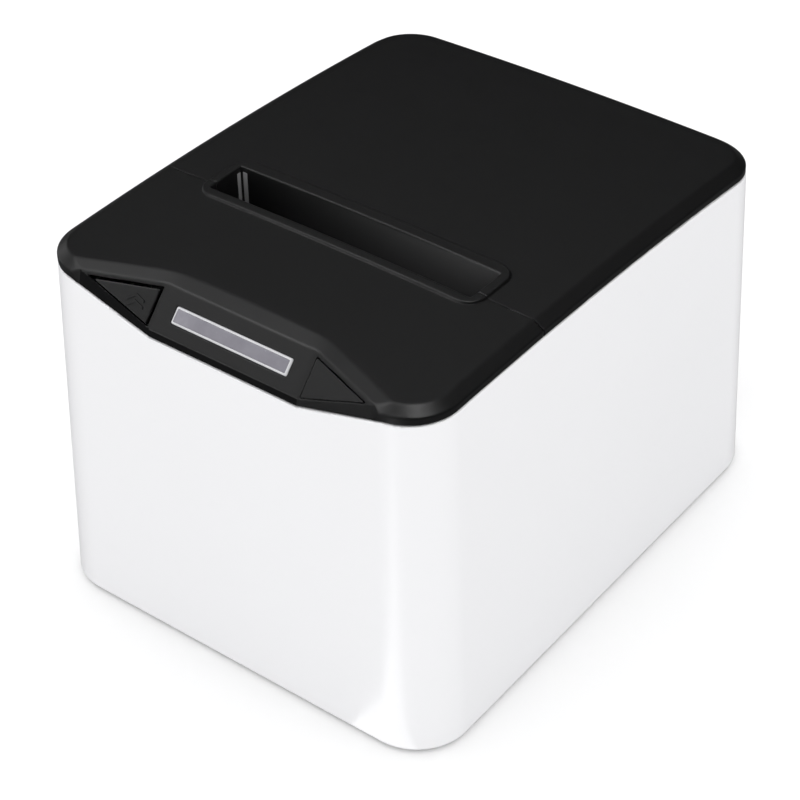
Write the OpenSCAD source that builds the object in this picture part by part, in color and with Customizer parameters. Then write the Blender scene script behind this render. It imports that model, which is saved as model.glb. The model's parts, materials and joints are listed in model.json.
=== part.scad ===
/* [Casing] */
// Width of the casing along its parting line
body_w = 139.5; // [134:0.5:150]
// Depth of the casing along its parting line
body_d = 176; // [172:1:186]
// Corner radius of the casing at the parting line
corner_r = 16; // [12:1:20]
// Corner radius of the casing at its base
base_corner_r = 18; // [14:1:22]
// How far the base of the casing stands out on every side
body_flare = 4.2; // [2:0.1:5]
// Wall thickness of the white casing
wall = 2.6; // [2:0.1:3.2]
// Highest point of the parting line between casing and covers
parting_z = 118.7; // [117:0.1:122]
// Distance behind the middle of the casing where the parting line peaks
parting_peak_y = -49; // [-60:1:-30]
// Radius of the arc that the parting line follows
parting_r = 1403; // [1200:1:1800]
// Open shadow line between the casing and the covers
reveal = 0.5; // [0.4:0.1:0.8]

/* [Covers] */
// Skin thickness of the black covers
skin = 2.2; // [1.8:0.1:2.6]
// Height of the upright band of the covers, with the shadow line
band_h = 2.6; // [2.2:0.1:3.4]
// Height of the chamfer round the top
chamfer_h = 2.2; // [1.6:0.1:2.8]
// Width of the chamfer round the top
chamfer_w = 3.4; // [2.4:0.1:4.4]
// Rise of the top from its sides to its middle
crown_h = 1.3; // [0.6:0.1:1.8]
// Distance of the lid seam from the front of the casing
seam_from_front = 55.2; // [53.5:0.1:57.5]
// Gap of the lid seam
seam_gap = 0.4; // [0.3:0.1:0.8]

/* [Front scoop] */
// Half width of the scoop's middle panel
panel_half_w = 26.7; // [24:0.1:28]
// Distance of the middle panel's top edge from the front
panel_top_from_front = 10.1; // [9.5:0.1:11]
// Height of the middle panel's top edge
panel_top_z = 122.8; // [122:0.1:123.4]
// Distance of the middle panel's lower edge from the front
panel_foot_from_front = 0.6; // [0.2:0.1:1.2]
// Height of the middle panel's lower edge
panel_foot_z = 112.6; // [112:0.1:113.6]
// Width of the sloping strip above the panels
strip_w = 4.4; // [3.6:0.1:5]
// Half width of the scoop at its outer ends
scoop_half_w = 52.5; // [51:0.1:54]
// Distance of the scoop's outer ends from the front
scoop_end_from_front = 1.3; // [0.8:0.1:2]
// Height of the casing's edge below the middle panel
dip_z = 109.9; // [109:0.1:110.5]
// Half width of the dip in the casing's edge, at the parting line
dip_half_w = 56; // [55:0.5:58]
// Width of the status window
lens_w = 41.8; // [38:0.1:44]
// Height of the status window along the panel
lens_h = 5.4; // [4.4:0.1:6]
// Distance of the window's lower edge above the panel's lower edge
lens_rise = 4.0; // [3.4:0.1:4.4]
// Border of the scoop's sides round the keys
key_border = 1.3; // [1:0.1:1.6]
// Groove between a key and its opening
key_gap = 0.35; // [0.3:0.05:0.5]
// Travel of the feed key
feed_travel = 0.8; // [0.5:0.1:1]
// Travel of the release key
release_travel = 1.5; // [1.2:0.1:1.6]

/* [Paper slot] */
// Half length of the slot's opening
slot_half_l = 47.4; // [46.5:0.1:48]
// Distance of the slot's front wall from the front
slot_front = 52; // [51:0.1:53]
// Width of the slot's opening from front to back
slot_w = 14.3; // [13:0.1:15.5]
// Depth of the slot's pocket below the rim
slot_depth = 16.5; // [16:0.5:17]
// Height of the raised rim round the slot
rim_h = 0.9; // [0.6:0.1:1.4]
// Width of the rim at the slot's ends
rim_side_w = 3.3; // [2.6:0.1:3.6]
// Width of the rim in front of the slot
rim_front_w = 3.5; // [3:0.1:4]
// Width of the rim behind the slot
rim_back_w = 4.4; // [3.6:0.1:4.8]

/* [Paper] */
// Width of the paper roll's bucket
bucket_w = 82; // [81:0.5:82.5]
// Height of the inside of the bucket's floor
bucket_floor_z = 22.5; // [21:0.5:24]
// Distance of the inside of the bucket from the casing's back
bucket_back_inset = 16.5; // [16:0.5:18]

/* [Print mechanism] */
// Place of the platen's axis, counted from the slot's front wall
platen_from_slot = 8.5; // [8:0.1:9]
// Height of the platen's axis
platen_z = 92; // [91:0.1:93]
// Radius of the rubber platen
platen_r = 6; // [5.6:0.1:6.2]
// Length of the rubber platen
platen_l = 80; // [79:0.5:80.5]
// Radius of the platen's shaft
shaft_r = 2.5; // [2:0.1:2.6]
// Half distance between the mechanism's side plates
plate_x = 43; // [42.8:0.1:43.2]
// Thickness of the mechanism's side plates
plate_t = 1.2; // [1:0.1:1.6]
// Module of the gears
gear_m = 0.6; // [0.55:0.01:0.62]
// Width of the gears
gear_w = 2.4; // [2:0.1:2.6]
// Stroke of the moving blade
blade_stroke = 6.5; // [6:0.1:7]
// Thickness of the blades
blade_t = 0.9; // [0.8:0.05:1]

/* [Lid hinge] */
// Distance of the hinge axis from the back of the covers
hinge_inset = 3.2; // [3.2:0.1:3.8]
// Height of the hinge axis
hinge_z = 102; // [101.5:0.1:102.5]
// Radius of the hinge barrels
hinge_r = 3.2; // [3:0.1:3.2]
// Radius of the hinge pins
pin_r = 1.5; // [1.2:0.1:1.6]

/* [Base] */
// Height of the casing's lower edge above the table
foot_gap = 1.2; // [0.8:0.1:1.6]
// Thickness of the base plate
base_t = 3; // [2.4:0.1:3.6]
// Radius of the rubber feet
foot_r = 7; // [6:0.5:9]

/* [Hidden] */

eps = 0.01;
far = 300;
$fn = 48;

// Clearances
running = 0.06;
fixed_fit = 0.03;
loose = 0.3;

// Places that the driving dimensions set
front_y = -body_d / 2;
back_y = body_d / 2;
seam_y = front_y + seam_from_front;
slot_y0 = front_y + slot_front;
slot_y1 = slot_y0 + slot_w;
draft_top = parting_z - 0.3;
cover_rise = band_h + chamfer_h;

// Height of the parting line at a distance y behind the middle
function parting(y) = parting_z - pow(y - parting_peak_y, 2) / (2 * parting_r);
// Rise of the crowned top at a distance x from the middle
function crown(x) = crown_h * (1 - pow(2 * x / body_w, 2));
// Height of the covers' top
function top_z(x, y) = parting(y) + cover_rise + crown(x);

// ---------------------------------------------------------------- rounded outlines and lofts

corner_steps = 7;
side_steps_x = 5;
side_steps_y = 9;

// Points of one corner's arc
function arc(cx, cy, r, a0) =
    [for (i = [0 : corner_steps]) [cx + r * cos(a0 + 90 * i / corner_steps),
                                   cy + r * sin(a0 + 90 * i / corner_steps)]];
// Points between two ends, without the ends
function between(p, q, n) = [for (i = [1 : n]) p + (q - p) * i / (n + 1)];
// Rounded rectangle with points along its sides
function outline(hx, hy, r) = let (
        a = arc(hx - r, hy - r, r, 0), b = arc(r - hx, hy - r, r, 90),
        c = arc(r - hx, r - hy, r, 180), d = arc(hx - r, r - hy, r, 270))
    concat(a, between(a[corner_steps], b[0], side_steps_x), b, between(b[corner_steps], c[0], side_steps_y),
           c, between(c[corner_steps], d[0], side_steps_x), d, between(d[corner_steps], a[0], side_steps_y));

// Solid through a stack of rings with equal counts of points
module loft(rings) {
    n = len(rings[0]);
    m = len(rings);
    mid_low = centre(rings[0]);
    mid_high = centre(rings[m - 1]);
    points = concat([for (r = rings) for (p = r) p], [mid_low, mid_high]);
    sides = [for (j = [0 : m - 2]) for (i = [0 : n - 1]) for (t = [0 : 1])
        let (a = j * n + i, b = j * n + (i + 1) % n)
        t == 0 ? [a, a + n, b + n] : [a, b + n, b]];
    bottom = [for (i = [0 : n - 1]) [i, (i + 1) % n, n * m]];
    top = [for (i = [0 : n - 1]) [(m - 1) * n + (i + 1) % n, (m - 1) * n + i, n * m + 1]];
    polyhedron(points = points, faces = concat(sides, bottom, top), convexity = 8);
}
function centre(ring) = let (n = len(ring))
    [for (k = [0 : 2]) [for (p = ring) p[k]] * [for (p = ring) 1] / n];

// Ring of the covers: inset from the casing's outline, rise above the parting line, share of the crown
function cover_ring(inset, rise, crowned) =
    [for (p = outline(body_w / 2 - inset, body_d / 2 - inset, corner_r - inset))
        [p[0], p[1], parting(p[1]) + rise + crowned * crown(p[0])]];
// Ring on the crowned top, shrunk about the middle
function top_ring(inset, rise, share) =
    [for (p = outline(body_w / 2 - inset, body_d / 2 - inset, corner_r - inset))
        [p[0] * share, p[1] * share, parting(p[1] * share) + rise + crown(p[0] * share)]];

crown_shares = [0.84, 0.66, 0.46, 0.24];

// Full solid under the covers' outer face, down to a depth below the parting line
module cover_solid(inset, drop, depth) {
    loft(concat([cover_ring(inset, -depth, 0), cover_ring(inset, band_h - drop, 1),
                 cover_ring(inset + chamfer_w - drop * 0.4, cover_rise - drop, 1)],
                [for (s = crown_shares) top_ring(inset + chamfer_w - drop * 0.4, cover_rise - drop, s)]));
}

// Casing ring at a height, inset from the outer face
function casing_ring(inset, z) = let (
        share = (draft_top - z) / (draft_top - foot_gap),
        out = body_flare * share - inset,
        r = corner_r + (base_corner_r - corner_r) * share - inset)
    [for (p = outline(body_w / 2 + out, body_d / 2 + out, r)) [p[0], p[1], z]];

module casing_solid(inset, z0, z1) {
    loft([casing_ring(inset, z0), casing_ring(inset, z1)]);
}

// Everything below the parting line and the dip at the front
arc_count = 24;
module below_parting(gap) {
    difference() {
        rotate([90, 0, 90])
            translate([0, 0, -far / 2])
            linear_extrude(far)
            polygon(concat([[far / 2, -far / 2], [far / 2, parting(far / 2) + gap]],
                [for (i = [arc_count : -1 : 0]) let (y = front_y - 8 + (body_d + 16) * i / arc_count)
                    [y, parting(y) + gap]],
                [[-far / 2, parting(-far / 2) + gap], [-far / 2, -far / 2]]));
        translate([0, front_y + 14, 0])
            rotate([90, 0, 0])
            linear_extrude(far)
            polygon([[-dip_half_w, parting(front_y) + gap], [-panel_half_w, dip_z + gap],
                     [panel_half_w, dip_z + gap], [dip_half_w, parting(front_y) + gap],
                     [dip_half_w, far], [-dip_half_w, far]]);
    }
}

// ---------------------------------------------------------------- front scoop

// Corners of the scoop on its right side
scoop_b = [panel_half_w, front_y + panel_top_from_front, panel_top_z];
scoop_c = [panel_half_w, front_y + panel_foot_from_front, panel_foot_z];
scoop_a = [scoop_half_w, front_y + scoop_end_from_front, parting(front_y) + band_h + crown(scoop_half_w)
    + chamfer_h * scoop_end_from_front / chamfer_w];
panel_tilt = atan2(scoop_b[2] - scoop_c[2], scoop_b[1] - scoop_c[1]);
panel_len = norm(scoop_b - scoop_c);

// Puts things on the middle panel: Y runs up the panel and Z stands out of it
module on_panel() {
    translate([0, scoop_c[1], scoop_c[2]])
        rotate([panel_tilt, 0, 0])
        children();
}

// Frame of the right side's triangle
facet_cross = cross(scoop_b - scoop_c, scoop_a - scoop_c);
facet_normal = facet_cross / norm(facet_cross);
facet_out = facet_normal[2] < 0 ? -facet_normal : facet_normal;
facet_tilt = acos(facet_out[2]);
facet_turn = asin(facet_out[0] / sin(facet_tilt));
facet_ex = [cos(facet_turn), sin(facet_turn), 0];
facet_ey = cross(facet_out, facet_ex);
module on_facet() {
    translate(scoop_b)
        rotate([facet_tilt, 0, facet_turn])
        children();
}
function to_facet(p) = [(p - scoop_b) * facet_ex, (p - scoop_b) * facet_ey];

// Triangle of a key, drawn in by a border
function incentre(a, b, c) = let (la = norm(b - c), lb = norm(a - c), lc = norm(a - b))
    (a * la + b * lb + c * lc) / (la + lb + lc);
function triangle_area(a, b, c) = abs((b[0] - a[0]) * (c[1] - a[1]) - (c[0] - a[0]) * (b[1] - a[1])) / 2;
function inradius(a, b, c) = 2 * triangle_area(a, b, c) / (norm(b - c) + norm(a - c) + norm(a - b));
function drawn_in(border) = let (
        a = to_facet(scoop_a), b = to_facet(scoop_b), c = to_facet(scoop_c),
        m = incentre(a, b, c), k = (inradius(a, b, c) - border) / inradius(a, b, c))
    [for (p = [a, b, c]) m + (p - m) * k];

// Cross-section of the space above the scoop, from the strip's back edge down the panel and round
function scoop_section(back, edge) = let (
        foot = edge + (scoop_c - scoop_b) * (1 + scoop_reach / panel_len),
        past = back + (back - edge) * 0.8)
    [past, edge, foot, foot + [0, -scoop_reach, 0], edge + [0, -2.5 * scoop_reach, scoop_reach],
     past + [0, 0, scoop_reach]];
function mirrored(points) = [for (p = points) [-p[0], p[1], p[2]]];
scoop_reach = 12;
strip_back_b = [scoop_b[0], scoop_b[1] + strip_w, top_z(scoop_b[0], scoop_b[1] + strip_w)];
strip_back_a = [scoop_a[0] - 0.8, scoop_a[1] + strip_w, top_z(scoop_a[0], scoop_a[1] + strip_w)];

// Space above the scoop; it is moved inwards to make the skin's inner face
module scoop_space() {
    side = scoop_section(strip_back_a, scoop_a);
    middle = scoop_section(strip_back_b, scoop_b);
    loft([side, middle, mirrored(middle), mirrored(side)]);
}

module front_outer() {
    difference() {
        cover_solid(0, 0, 26);
        scoop_space();
    }
}
inward = skin * 0.72;
module front_inner() {
    difference() {
        cover_solid(skin, skin, 40);
        translate([0, inward, -inward]) scoop_space();
    }
}

// ---------------------------------------------------------------- paper slot

slot_mid_y = slot_y0 + slot_w / 2;
rim_mid_y = (slot_y0 - rim_front_w + slot_y1 + rim_back_w) / 2;
rim_half_w = (slot_w + rim_front_w + rim_back_w) / 2;
rim_half_l = slot_half_l + rim_side_w;
slot_floor_z = parting_z + cover_rise - slot_depth;
pocket_t = 1.8;

// Upright prism on a rounded rectangle
module rounded_prism(hx, hy, r, z0, z1) {
    translate([0, 0, z0])
        linear_extrude(z1 - z0)
        polygon([for (p = outline(hx, hy, r)) [p[0], p[1]]]);
}
module slot_hole() {
    translate([0, slot_mid_y, 0])
        rounded_prism(slot_half_l, slot_w / 2, 1, slot_floor_z - 20, far);
}
// Raised rim and the pocket's walls, before they are parted at the seam
module slot_frame() {
    difference() {
        intersection() {
            cover_solid(0, -rim_h, 1);
            translate([0, rim_mid_y, 0])
                rounded_prism(rim_half_l, rim_half_w, 6, slot_floor_z, far);
        }
        cover_solid(skin, skin, 40);
    }
    intersection() {
        cover_solid(0.5, 0.5, 20);
        translate([0, slot_mid_y, 0])
            rounded_prism(slot_half_l + pocket_t, slot_w / 2 + pocket_t, 1.6, slot_floor_z, far);
    }
}
module before_seam() {
    translate([-far, seam_y - seam_gap / 2 - 2 * far, -far]) cube(2 * far);
}
module behind_seam() {
    translate([-far, seam_y + seam_gap / 2, -far]) cube(2 * far);
}

// ---------------------------------------------------------------- small helpers

// Box from its lowest to its highest corner
module block(p, q) {
    translate(p) cube(q - p);
}
// Cylinder along X
module rod_x(x0, x1, y, z, r) {
    translate([x0, y, z]) rotate([0, 90, 0]) cylinder(r = r, h = x1 - x0);
}
// Cylinder along Z
module rod_z(x, y, z0, z1, r) {
    translate([x, y, z0]) cylinder(r = r, h = z1 - z0);
}
// Cylinder along Y
module rod_y(x, y0, y1, z, r) {
    translate([x, y1, z]) rotate([90, 0, 0]) cylinder(r = r, h = y1 - y0);
}
// Plate across X on an outline in Y and Z
module plate_x(x0, x1, points) {
    translate([x0, 0, 0])
        rotate([90, 0, 90])
        linear_extrude(x1 - x0)
        polygon(points);
}
// Both sides of the object
module both_sides() {
    children();
    mirror([1, 0, 0]) children();
}

pressure_angle = 20;
tooth_tip = 0.9;
tooth_root = 1.2;
root_relief = 0.05;
flank_steps = 3;
backlash = 0.14;
mesh_play = 0.08;
// Involute angle at radius r over a base circle rb, in degrees
function inv_deg(r, rb) = let (a = acos(min(1, rb / r))) tan(a) * 180 / PI - a;
// One flank of a tooth: angle from the tooth's middle at radius r
function flank(m, z, r, slack) = let (rp = m * z / 2, rb = rp * cos(pressure_angle))
    (PI * m / 2 - slack) / 2 / rp * 180 / PI + inv_deg(rp, rb) - inv_deg(max(r, rb), rb);
// Outline of a gear of module m with z teeth, the first tooth at an angle turn
function gear_points(m, z, slack, turn) = let (
        rp = m * z / 2, ra = rp + tooth_tip * m, rf = rp - tooth_root * m,
        rs = max(rf + root_relief, rp * cos(pressure_angle)),
        radii = [for (k = [0 : flank_steps]) rs + (ra - rs) * k / flank_steps],
        rise = [for (r = radii) [r, -flank(m, z, r, slack)]],
        fall = [for (k = [flank_steps : -1 : 0]) [radii[k], flank(m, z, radii[k], slack)]],
        tooth = concat([[rf, rise[0][1]]], rise, fall, [[rf, fall[flank_steps][1]]]))
    [for (i = [0 : z - 1]) for (q = tooth) let (a = turn + 360 * i / z + q[1])
        [q[0] * cos(a), q[0] * sin(a)]];
module gear(m, z, w, turn) {
    linear_extrude(w) polygon(gear_points(m, z, backlash, turn));
}
// Gear whose axis lies along X; the turn counts from +Y towards +Z
module gear_x(x0, y, z0, m, z, w, turn) {
    translate([x0, y, z0]) rotate([90, 0, 90]) gear(m, z, w, turn);
}

// ---------------------------------------------------------------- casing

hinge_y = back_y - hinge_inset;
lug_x0 = 45.6;
lug_x1 = 50.7;
arm_x0 = lug_x1 + loose;
arm_x1 = arm_x0 + 5;
notch_drop = 4;
lid_sweep_r = 11.1;
port_half_w = 46;
port_z0 = 7;
port_z1 = 29;
switch_x = body_w / 2 - 14.75;
switch_z = 50;
switch_w = 13;
switch_h = 19;
base_half_x = body_w / 2 + body_flare - wall - loose;
base_half_y = body_d / 2 + body_flare - wall - loose;
base_top = foot_gap + base_t;

wall_cut_in = 8;
wall_cut_out = 12;
// Cut through the casing's back wall between two places in X and Z
module back_cut(x0, x1, z0, z1) {
    block([x0, back_y - wall_cut_in, z0], [x1, back_y + wall_cut_out, z1]);
}
module body_shell() {
    color("white")
    difference() {
        intersection() {
            casing_solid(0, foot_gap, parting_z + 4);
            below_parting(0);
        }
        casing_solid(wall, foot_gap - 1, parting_z + 6);
        both_sides() back_cut(lug_x0 - loose, arm_x1 + loose, hinge_z - notch_drop, far);
        back_cut(-port_half_w, port_half_w, port_z0, port_z1);
        back_cut(switch_x - switch_w / 2, switch_x + switch_w / 2,
                 switch_z - switch_h / 2, switch_z + switch_h / 2);
    }
}

post_x = body_w / 2 - 11.75;
post_front_y = front_y + 34;
post_back_y = back_y - 14;
screw_r = 1.5;
screw_play = 0.2;
screw_head_r = 3;
screw_head_h = 1.6;
screw_sink = 0.2;
screw_bite = 8;
foot_x = body_w / 2 - 15.75;
foot_front_y = front_y + 14;
foot_back_y = back_y - 28;
module foot_places() {
    for (sx = [-1, 1]) for (y = [foot_front_y, foot_back_y])
        translate([sx * foot_x, y, 0]) children();
}
module base_outline(r) {
    difference() {
        square([2 * base_half_x, 2 * base_half_y], center = true);
        for (sx = [-1, 1]) for (sy = [-1, 1])
            translate([sx * (base_half_x - r / 2 + eps), sy * (base_half_y - r / 2 + eps)])
                square(r + 2 * eps, center = true);
    }
    for (sx = [-1, 1]) for (sy = [-1, 1])
        translate([sx * (base_half_x - r), sy * (base_half_y - r)]) circle(r);
}
module post_places() {
    for (sx = [-1, 1]) for (y = [post_front_y, post_back_y])
        translate([sx * post_x, y, 0]) children();
}
foot_recess = 0.8;
foot_play = 0.1;
module base_plate() {
    color("dimgray")
    difference() {
        translate([0, 0, foot_gap]) linear_extrude(base_t) base_outline(base_corner_r - wall - loose);
        post_places() {
            rod_z(0, 0, 0, far, screw_r + screw_play);
            rod_z(0, 0, 0, foot_gap + screw_sink + screw_head_h, screw_head_r + screw_play);
        }
        foot_places() rod_z(0, 0, 0, foot_gap + foot_recess, foot_r + foot_play);
    }
}
module rubber_feet() {
    color("black")
    foot_places() rod_z(0, 0, 0, foot_gap + foot_recess, foot_r);
}
module base_screws() {
    color("silver")
    post_places() {
        rod_z(0, 0, foot_gap + screw_sink, foot_gap + screw_sink + screw_head_h, screw_head_r);
        rod_z(0, 0, foot_gap + screw_head_h, base_top + screw_bite, screw_r);
    }
}

// ---------------------------------------------------------------- chassis

// The roll's bucket ends where the print mechanism begins
bucket_t = 2;
mech_room = 10;
mech_back = slot_y0 + platen_from_slot + mech_room;
bucket_y0 = mech_back + bucket_t;
bucket_y1 = back_y - bucket_back_inset;
bucket_r = (bucket_y1 - bucket_y0) / 2;
bucket_y = bucket_y0 + bucket_r;
bucket_z = bucket_floor_z + bucket_r;
paper_way_z = platen_z - platen_r - 4;
// Deck beside the bucket, with the bucket's cheeks standing above it
deck_z = hinge_z + 1;
deck_t = 2;
deck_half_x = post_x + 6;
deck_back = back_y - 8;
cheek_rise = 8.6;
// Shelf under the mechanism, on ribs that rest on ledges between the posts
shelf_z = 58;
shelf_t = 2;
shelf_half_x = 45;
shelf_front = front_y + 36;
rib_x = 42;
rib_t = 3;
ledge_z = shelf_z - 22;
ledge_t = 4;
post_half = 4;
// Axle of the lid's latch
latch_y = seam_y + 2.8;
latch_z = 50;
latch_r = 2;
ledge_back = latch_y - 12;

// Bucket with a round floor, closed by the deck's level, and the deck
module bucket() {
    side = bucket_w / 2;
    outer = side + bucket_t;
    difference() {
        union() {
            rod_x(-outer, outer, bucket_y, bucket_z, bucket_r + bucket_t);
            block([-outer, mech_back, bucket_z], [outer, bucket_y1 + bucket_t, deck_z]);
            block([-outer, mech_back, shelf_z - shelf_t], [outer, bucket_y, shelf_z]);
            block([-deck_half_x, mech_back, deck_z - deck_t], [deck_half_x, deck_back, deck_z]);
        }
        rod_x(-side, side, bucket_y, bucket_z, bucket_r);
        block([-side, bucket_y0, bucket_z], [side, bucket_y1, far]);
        block([-side - eps, mech_back - 1, paper_way_z], [side + eps, bucket_y0 + 1, far]);
        block([-far, -far, deck_z + cheek_rise], [far, far, far]);
    }
}
// Post of the right side up to a height
module post(y, top) {
    block([post_x - post_half, y - post_half, base_top], [post_x + post_half, y + post_half, top]);
}
// What carries the shelf on the right side
module shelf_support() {
    post(post_back_y, deck_z - 1);
    post(post_front_y, ledge_z + ledge_t / 2);
    block([post_x - post_half, post_front_y - post_half, ledge_z],
          [post_x + post_half, ledge_back, ledge_z + ledge_t]);
    block([rib_x, shelf_front, ledge_z], [post_x + post_half, ledge_back, ledge_z + ledge_t]);
    block([rib_x, shelf_front, ledge_z], [rib_x + rib_t, mech_back + 1, shelf_z - 1]);
}
module hinge_lug() {
    rod_x(lug_x0, lug_x1, hinge_y, hinge_z, hinge_r);
    block([lug_x0, deck_back - 8, hinge_z - hinge_r], [lug_x1, hinge_y, deck_z]);
}
module chassis() {
    color("dimgray")
    difference() {
        union() {
            bucket();
            block([-shelf_half_x, shelf_front, shelf_z - shelf_t], [shelf_half_x, mech_back + 1, shelf_z]);
            both_sides() {
                shelf_support();
                hinge_lug();
            }
        }
        rod_x(-far, far, latch_y, latch_z, latch_r + running);
        rod_x(-far, far, hinge_y, hinge_z, pin_r + fixed_fit);
        block([-ribbon_half_x - 1, ribbon_y - 1, shelf_z - shelf_t - 3],
              [ribbon_half_x + 1, ribbon_y + ribbon_t + 1, shelf_z + 5]);
        post_places() rod_z(0, 0, 0, base_top + screw_bite + 2, screw_r + fixed_fit);
        mech_screw_places() rod_z(0, 0, shelf_z - 10, far, screw_r + fixed_fit);
    }
}
module hinge_pins() {
    color("silver")
    both_sides() rod_x(lug_x0 + 0.5, arm_x1 - 0.3, hinge_y, hinge_z, pin_r);
}

// ---------------------------------------------------------------- print mechanism

platen_y = slot_y0 + platen_from_slot;
paper_y = platen_y - platen_r;
paper_gap = 0.35;
bush_r = 4;
arm_t = 2.2;
arm_gap = 0.6;
platen_arm_x = platen_l / 2 + arm_gap;
frame_front = shelf_front + 2;
frame_back = mech_back - 0.7;
frame_top = 99;
mech_screw_x = 38;
mech_screw_y = [frame_front + 4, frame_back - 5];
guide_z = 79.8;
// Holes of the four screws that hold the mechanism on the shelf
module mech_screw_places() {
    for (sx = [-1, 1]) for (y = mech_screw_y)
        translate([sx * mech_screw_x, y, 0]) children();
}
head_pin_y = paper_y - 4.5;
head_pin_z = 81;
head_pin_r = 1.5;
head_half_x = platen_l / 2 - 0.2;
heatsink_y1 = paper_y - paper_gap - 1.1;
idler_teeth = 20;
platen_teeth = 22;
motor_teeth = 12;
idler_z = platen_z - gear_m * (platen_teeth + idler_teeth) / 2 - mesh_play;
motor_z = idler_z - gear_m * (idler_teeth + motor_teeth) / 2 - mesh_play;
gear_gap = 0.5;
gear_x0 = -plate_x - plate_t - gear_gap - gear_w;
motor_r = 8.4;
plate_in = plate_x + 0.1;
guide_from_pin = 4.4;
module mech_frame() {
    color("silver")
    difference() {
        union() {
            both_sides() {
                plate_x(plate_x, plate_x + plate_t, [[frame_front, shelf_z], [frame_back, shelf_z],
                    [frame_back, frame_top - 4], [frame_back - 4, frame_top], [frame_front + 6, frame_top],
                    [frame_front, frame_top - 10]]);
                block([mech_screw_x - 4, frame_front, shelf_z], [plate_in, frame_back, shelf_z + plate_t]);
            }
            block([-plate_in, frame_front, shelf_z], [plate_in, frame_front + plate_t, frame_top - 12]);
            block([-plate_in, head_pin_y + guide_from_pin, guide_z - plate_t],
                  [plate_in, frame_back, guide_z]);
        }
        rod_x(-far, far, platen_y, platen_z, bush_r + loose);
        block([-far, platen_y - bush_r - 3 * loose, platen_z], [far, platen_y + bush_r + loose, far]);
        rod_x(-far, far, head_pin_y, head_pin_z, head_pin_r + fixed_fit);
        rod_x(-far, 0, platen_y, idler_z, idler_pin_r + fixed_fit);
        rod_x(-far, 0, platen_y, motor_z, motor_boss_r + screw_play);
        mech_screw_places() rod_z(0, 0, 0, far, screw_r + screw_play);
    }
}
idler_pin_r = 1.5;
pan_head_r = 2.8;
motor_boss_r = 2.6;
module mech_screws() {
    color("silver")
    mech_screw_places() {
        rod_z(0, 0, shelf_z - shelf_t - 4, shelf_z + plate_t + 0.1, screw_r);
        rod_z(0, 0, shelf_z + plate_t, shelf_z + plate_t + screw_head_h, pan_head_r);
    }
}
sensor_half_x = 4;
sensor_h = 2.4;
module paper_sensor() {
    color("black")
    block([-sensor_half_x, frame_back - 9, guide_z], [sensor_half_x, frame_back - 4, guide_z + sensor_h]);
}
module head_pin() {
    pin_end = plate_x + plate_t + 0.5;
    color("silver")
    rod_x(-pin_end, pin_end, head_pin_y, head_pin_z, head_pin_r);
}
module head_heatsink() {
    color("silver")
    difference() {
        union() {
            block([-head_half_x, heatsink_y1 - heatsink_t, head_pin_z - head_barrel_r],
                  [head_half_x, heatsink_y1, platen_z + 3]);
            rod_x(-head_half_x, head_half_x, head_pin_y, head_pin_z, head_barrel_r);
            for (i = [0 : 1])
                block([-head_half_x + 6, heatsink_y1 - 6, fin_z0 + i * fin_pitch],
                      [head_half_x - 6, heatsink_y1 - 3.5, fin_z0 + i * fin_pitch + fin_t]);
        }
        rod_x(-far, far, head_pin_y, head_pin_z, head_pin_r + running);
    }
}
module thermal_head() {
    color("ivory")
    block([-head_half_x, heatsink_y1, platen_z - 7], [head_half_x, paper_y - paper_gap, platen_z + 2.5]);
}
module head_springs() {
    color("silver")
    for (sx = [-1, 1])
        translate([sx * spring_x, frame_front + plate_t + spring_play, head_pin_z + spring_rise])
            rotate([-90, 0, 0])
            rotate_extrude()
            translate([spring_r - spring_wire / 2, 0])
            square([spring_wire, spring_len]);
}
heatsink_t = 4;
head_barrel_r = 3;
spring_r = 2.4;
spring_wire = 1;
spring_x = 22;
spring_rise = head_barrel_r + spring_r + spring_wire / 2 + 0.3;
fin_t = 1.2;
fin_pitch = 2.6;
fin_z0 = head_pin_z + spring_rise + spring_r + spring_wire / 2 + 0.7;
ribbon_half_x = 30;
ribbon_y = heatsink_y1 - 5.5;
spring_play = 0.4;
spring_len = heatsink_y1 - heatsink_t - frame_front - plate_t - 3 * spring_play;
ribbon_t = 0.3;
module head_ribbon() {
    color("tan")
    block([-ribbon_half_x, ribbon_y, main_top], [ribbon_half_x, ribbon_y + ribbon_t, head_pin_z - 3.5]);
}

module platen_roller() {
    color("black")
    difference() {
        rod_x(-platen_l / 2, platen_l / 2, platen_y, platen_z, platen_r);
        rod_x(-far, far, platen_y, platen_z, shaft_r + fixed_fit);
    }
}
module platen_shaft() {
    color("silver")
    rod_x(gear_x0 - 0.4, plate_x + plate_t + 0.8, platen_y, platen_z, shaft_r);
}
module platen_gear() {
    color("white")
    difference() {
        gear_x(gear_x0, platen_y, platen_z, gear_m, platen_teeth, gear_w, -90);
        rod_x(-far, far, platen_y, platen_z, shaft_r + fixed_fit);
    }
}
module platen_bushes() {
    color("ivory")
    both_sides()
    difference() {
        rod_x(platen_arm_x, plate_x + plate_t + 0.4, platen_y, platen_z, bush_r);
        rod_x(0, far, platen_y, platen_z, shaft_r + running);
    }
}
module idler_gear() {
    color("white")
    difference() {
        gear_x(gear_x0, platen_y, idler_z, gear_m, idler_teeth, gear_w, 90 + 180 / idler_teeth);
        rod_x(-far, far, platen_y, idler_z, idler_pin_r + running);
    }
}
module idler_pin() {
    color("silver")
    rod_x(gear_x0 - 0.5, -plate_x, platen_y, idler_z, idler_pin_r);
}
module step_motor() {
    color("dimgray")
    difference() {
        union() {
            rod_x(-plate_x, -plate_x + motor_len, platen_y, motor_z, motor_r);
            rod_x(-plate_x - plate_t, -plate_x + 1, platen_y, motor_z, motor_boss_r);
        }
        rod_x(-far, -plate_x + motor_shaft_len + 2, platen_y, motor_z, motor_shaft_r + running);
    }
}
motor_shaft_r = 1;
motor_shaft_len = 10;
motor_len = 17;
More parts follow.
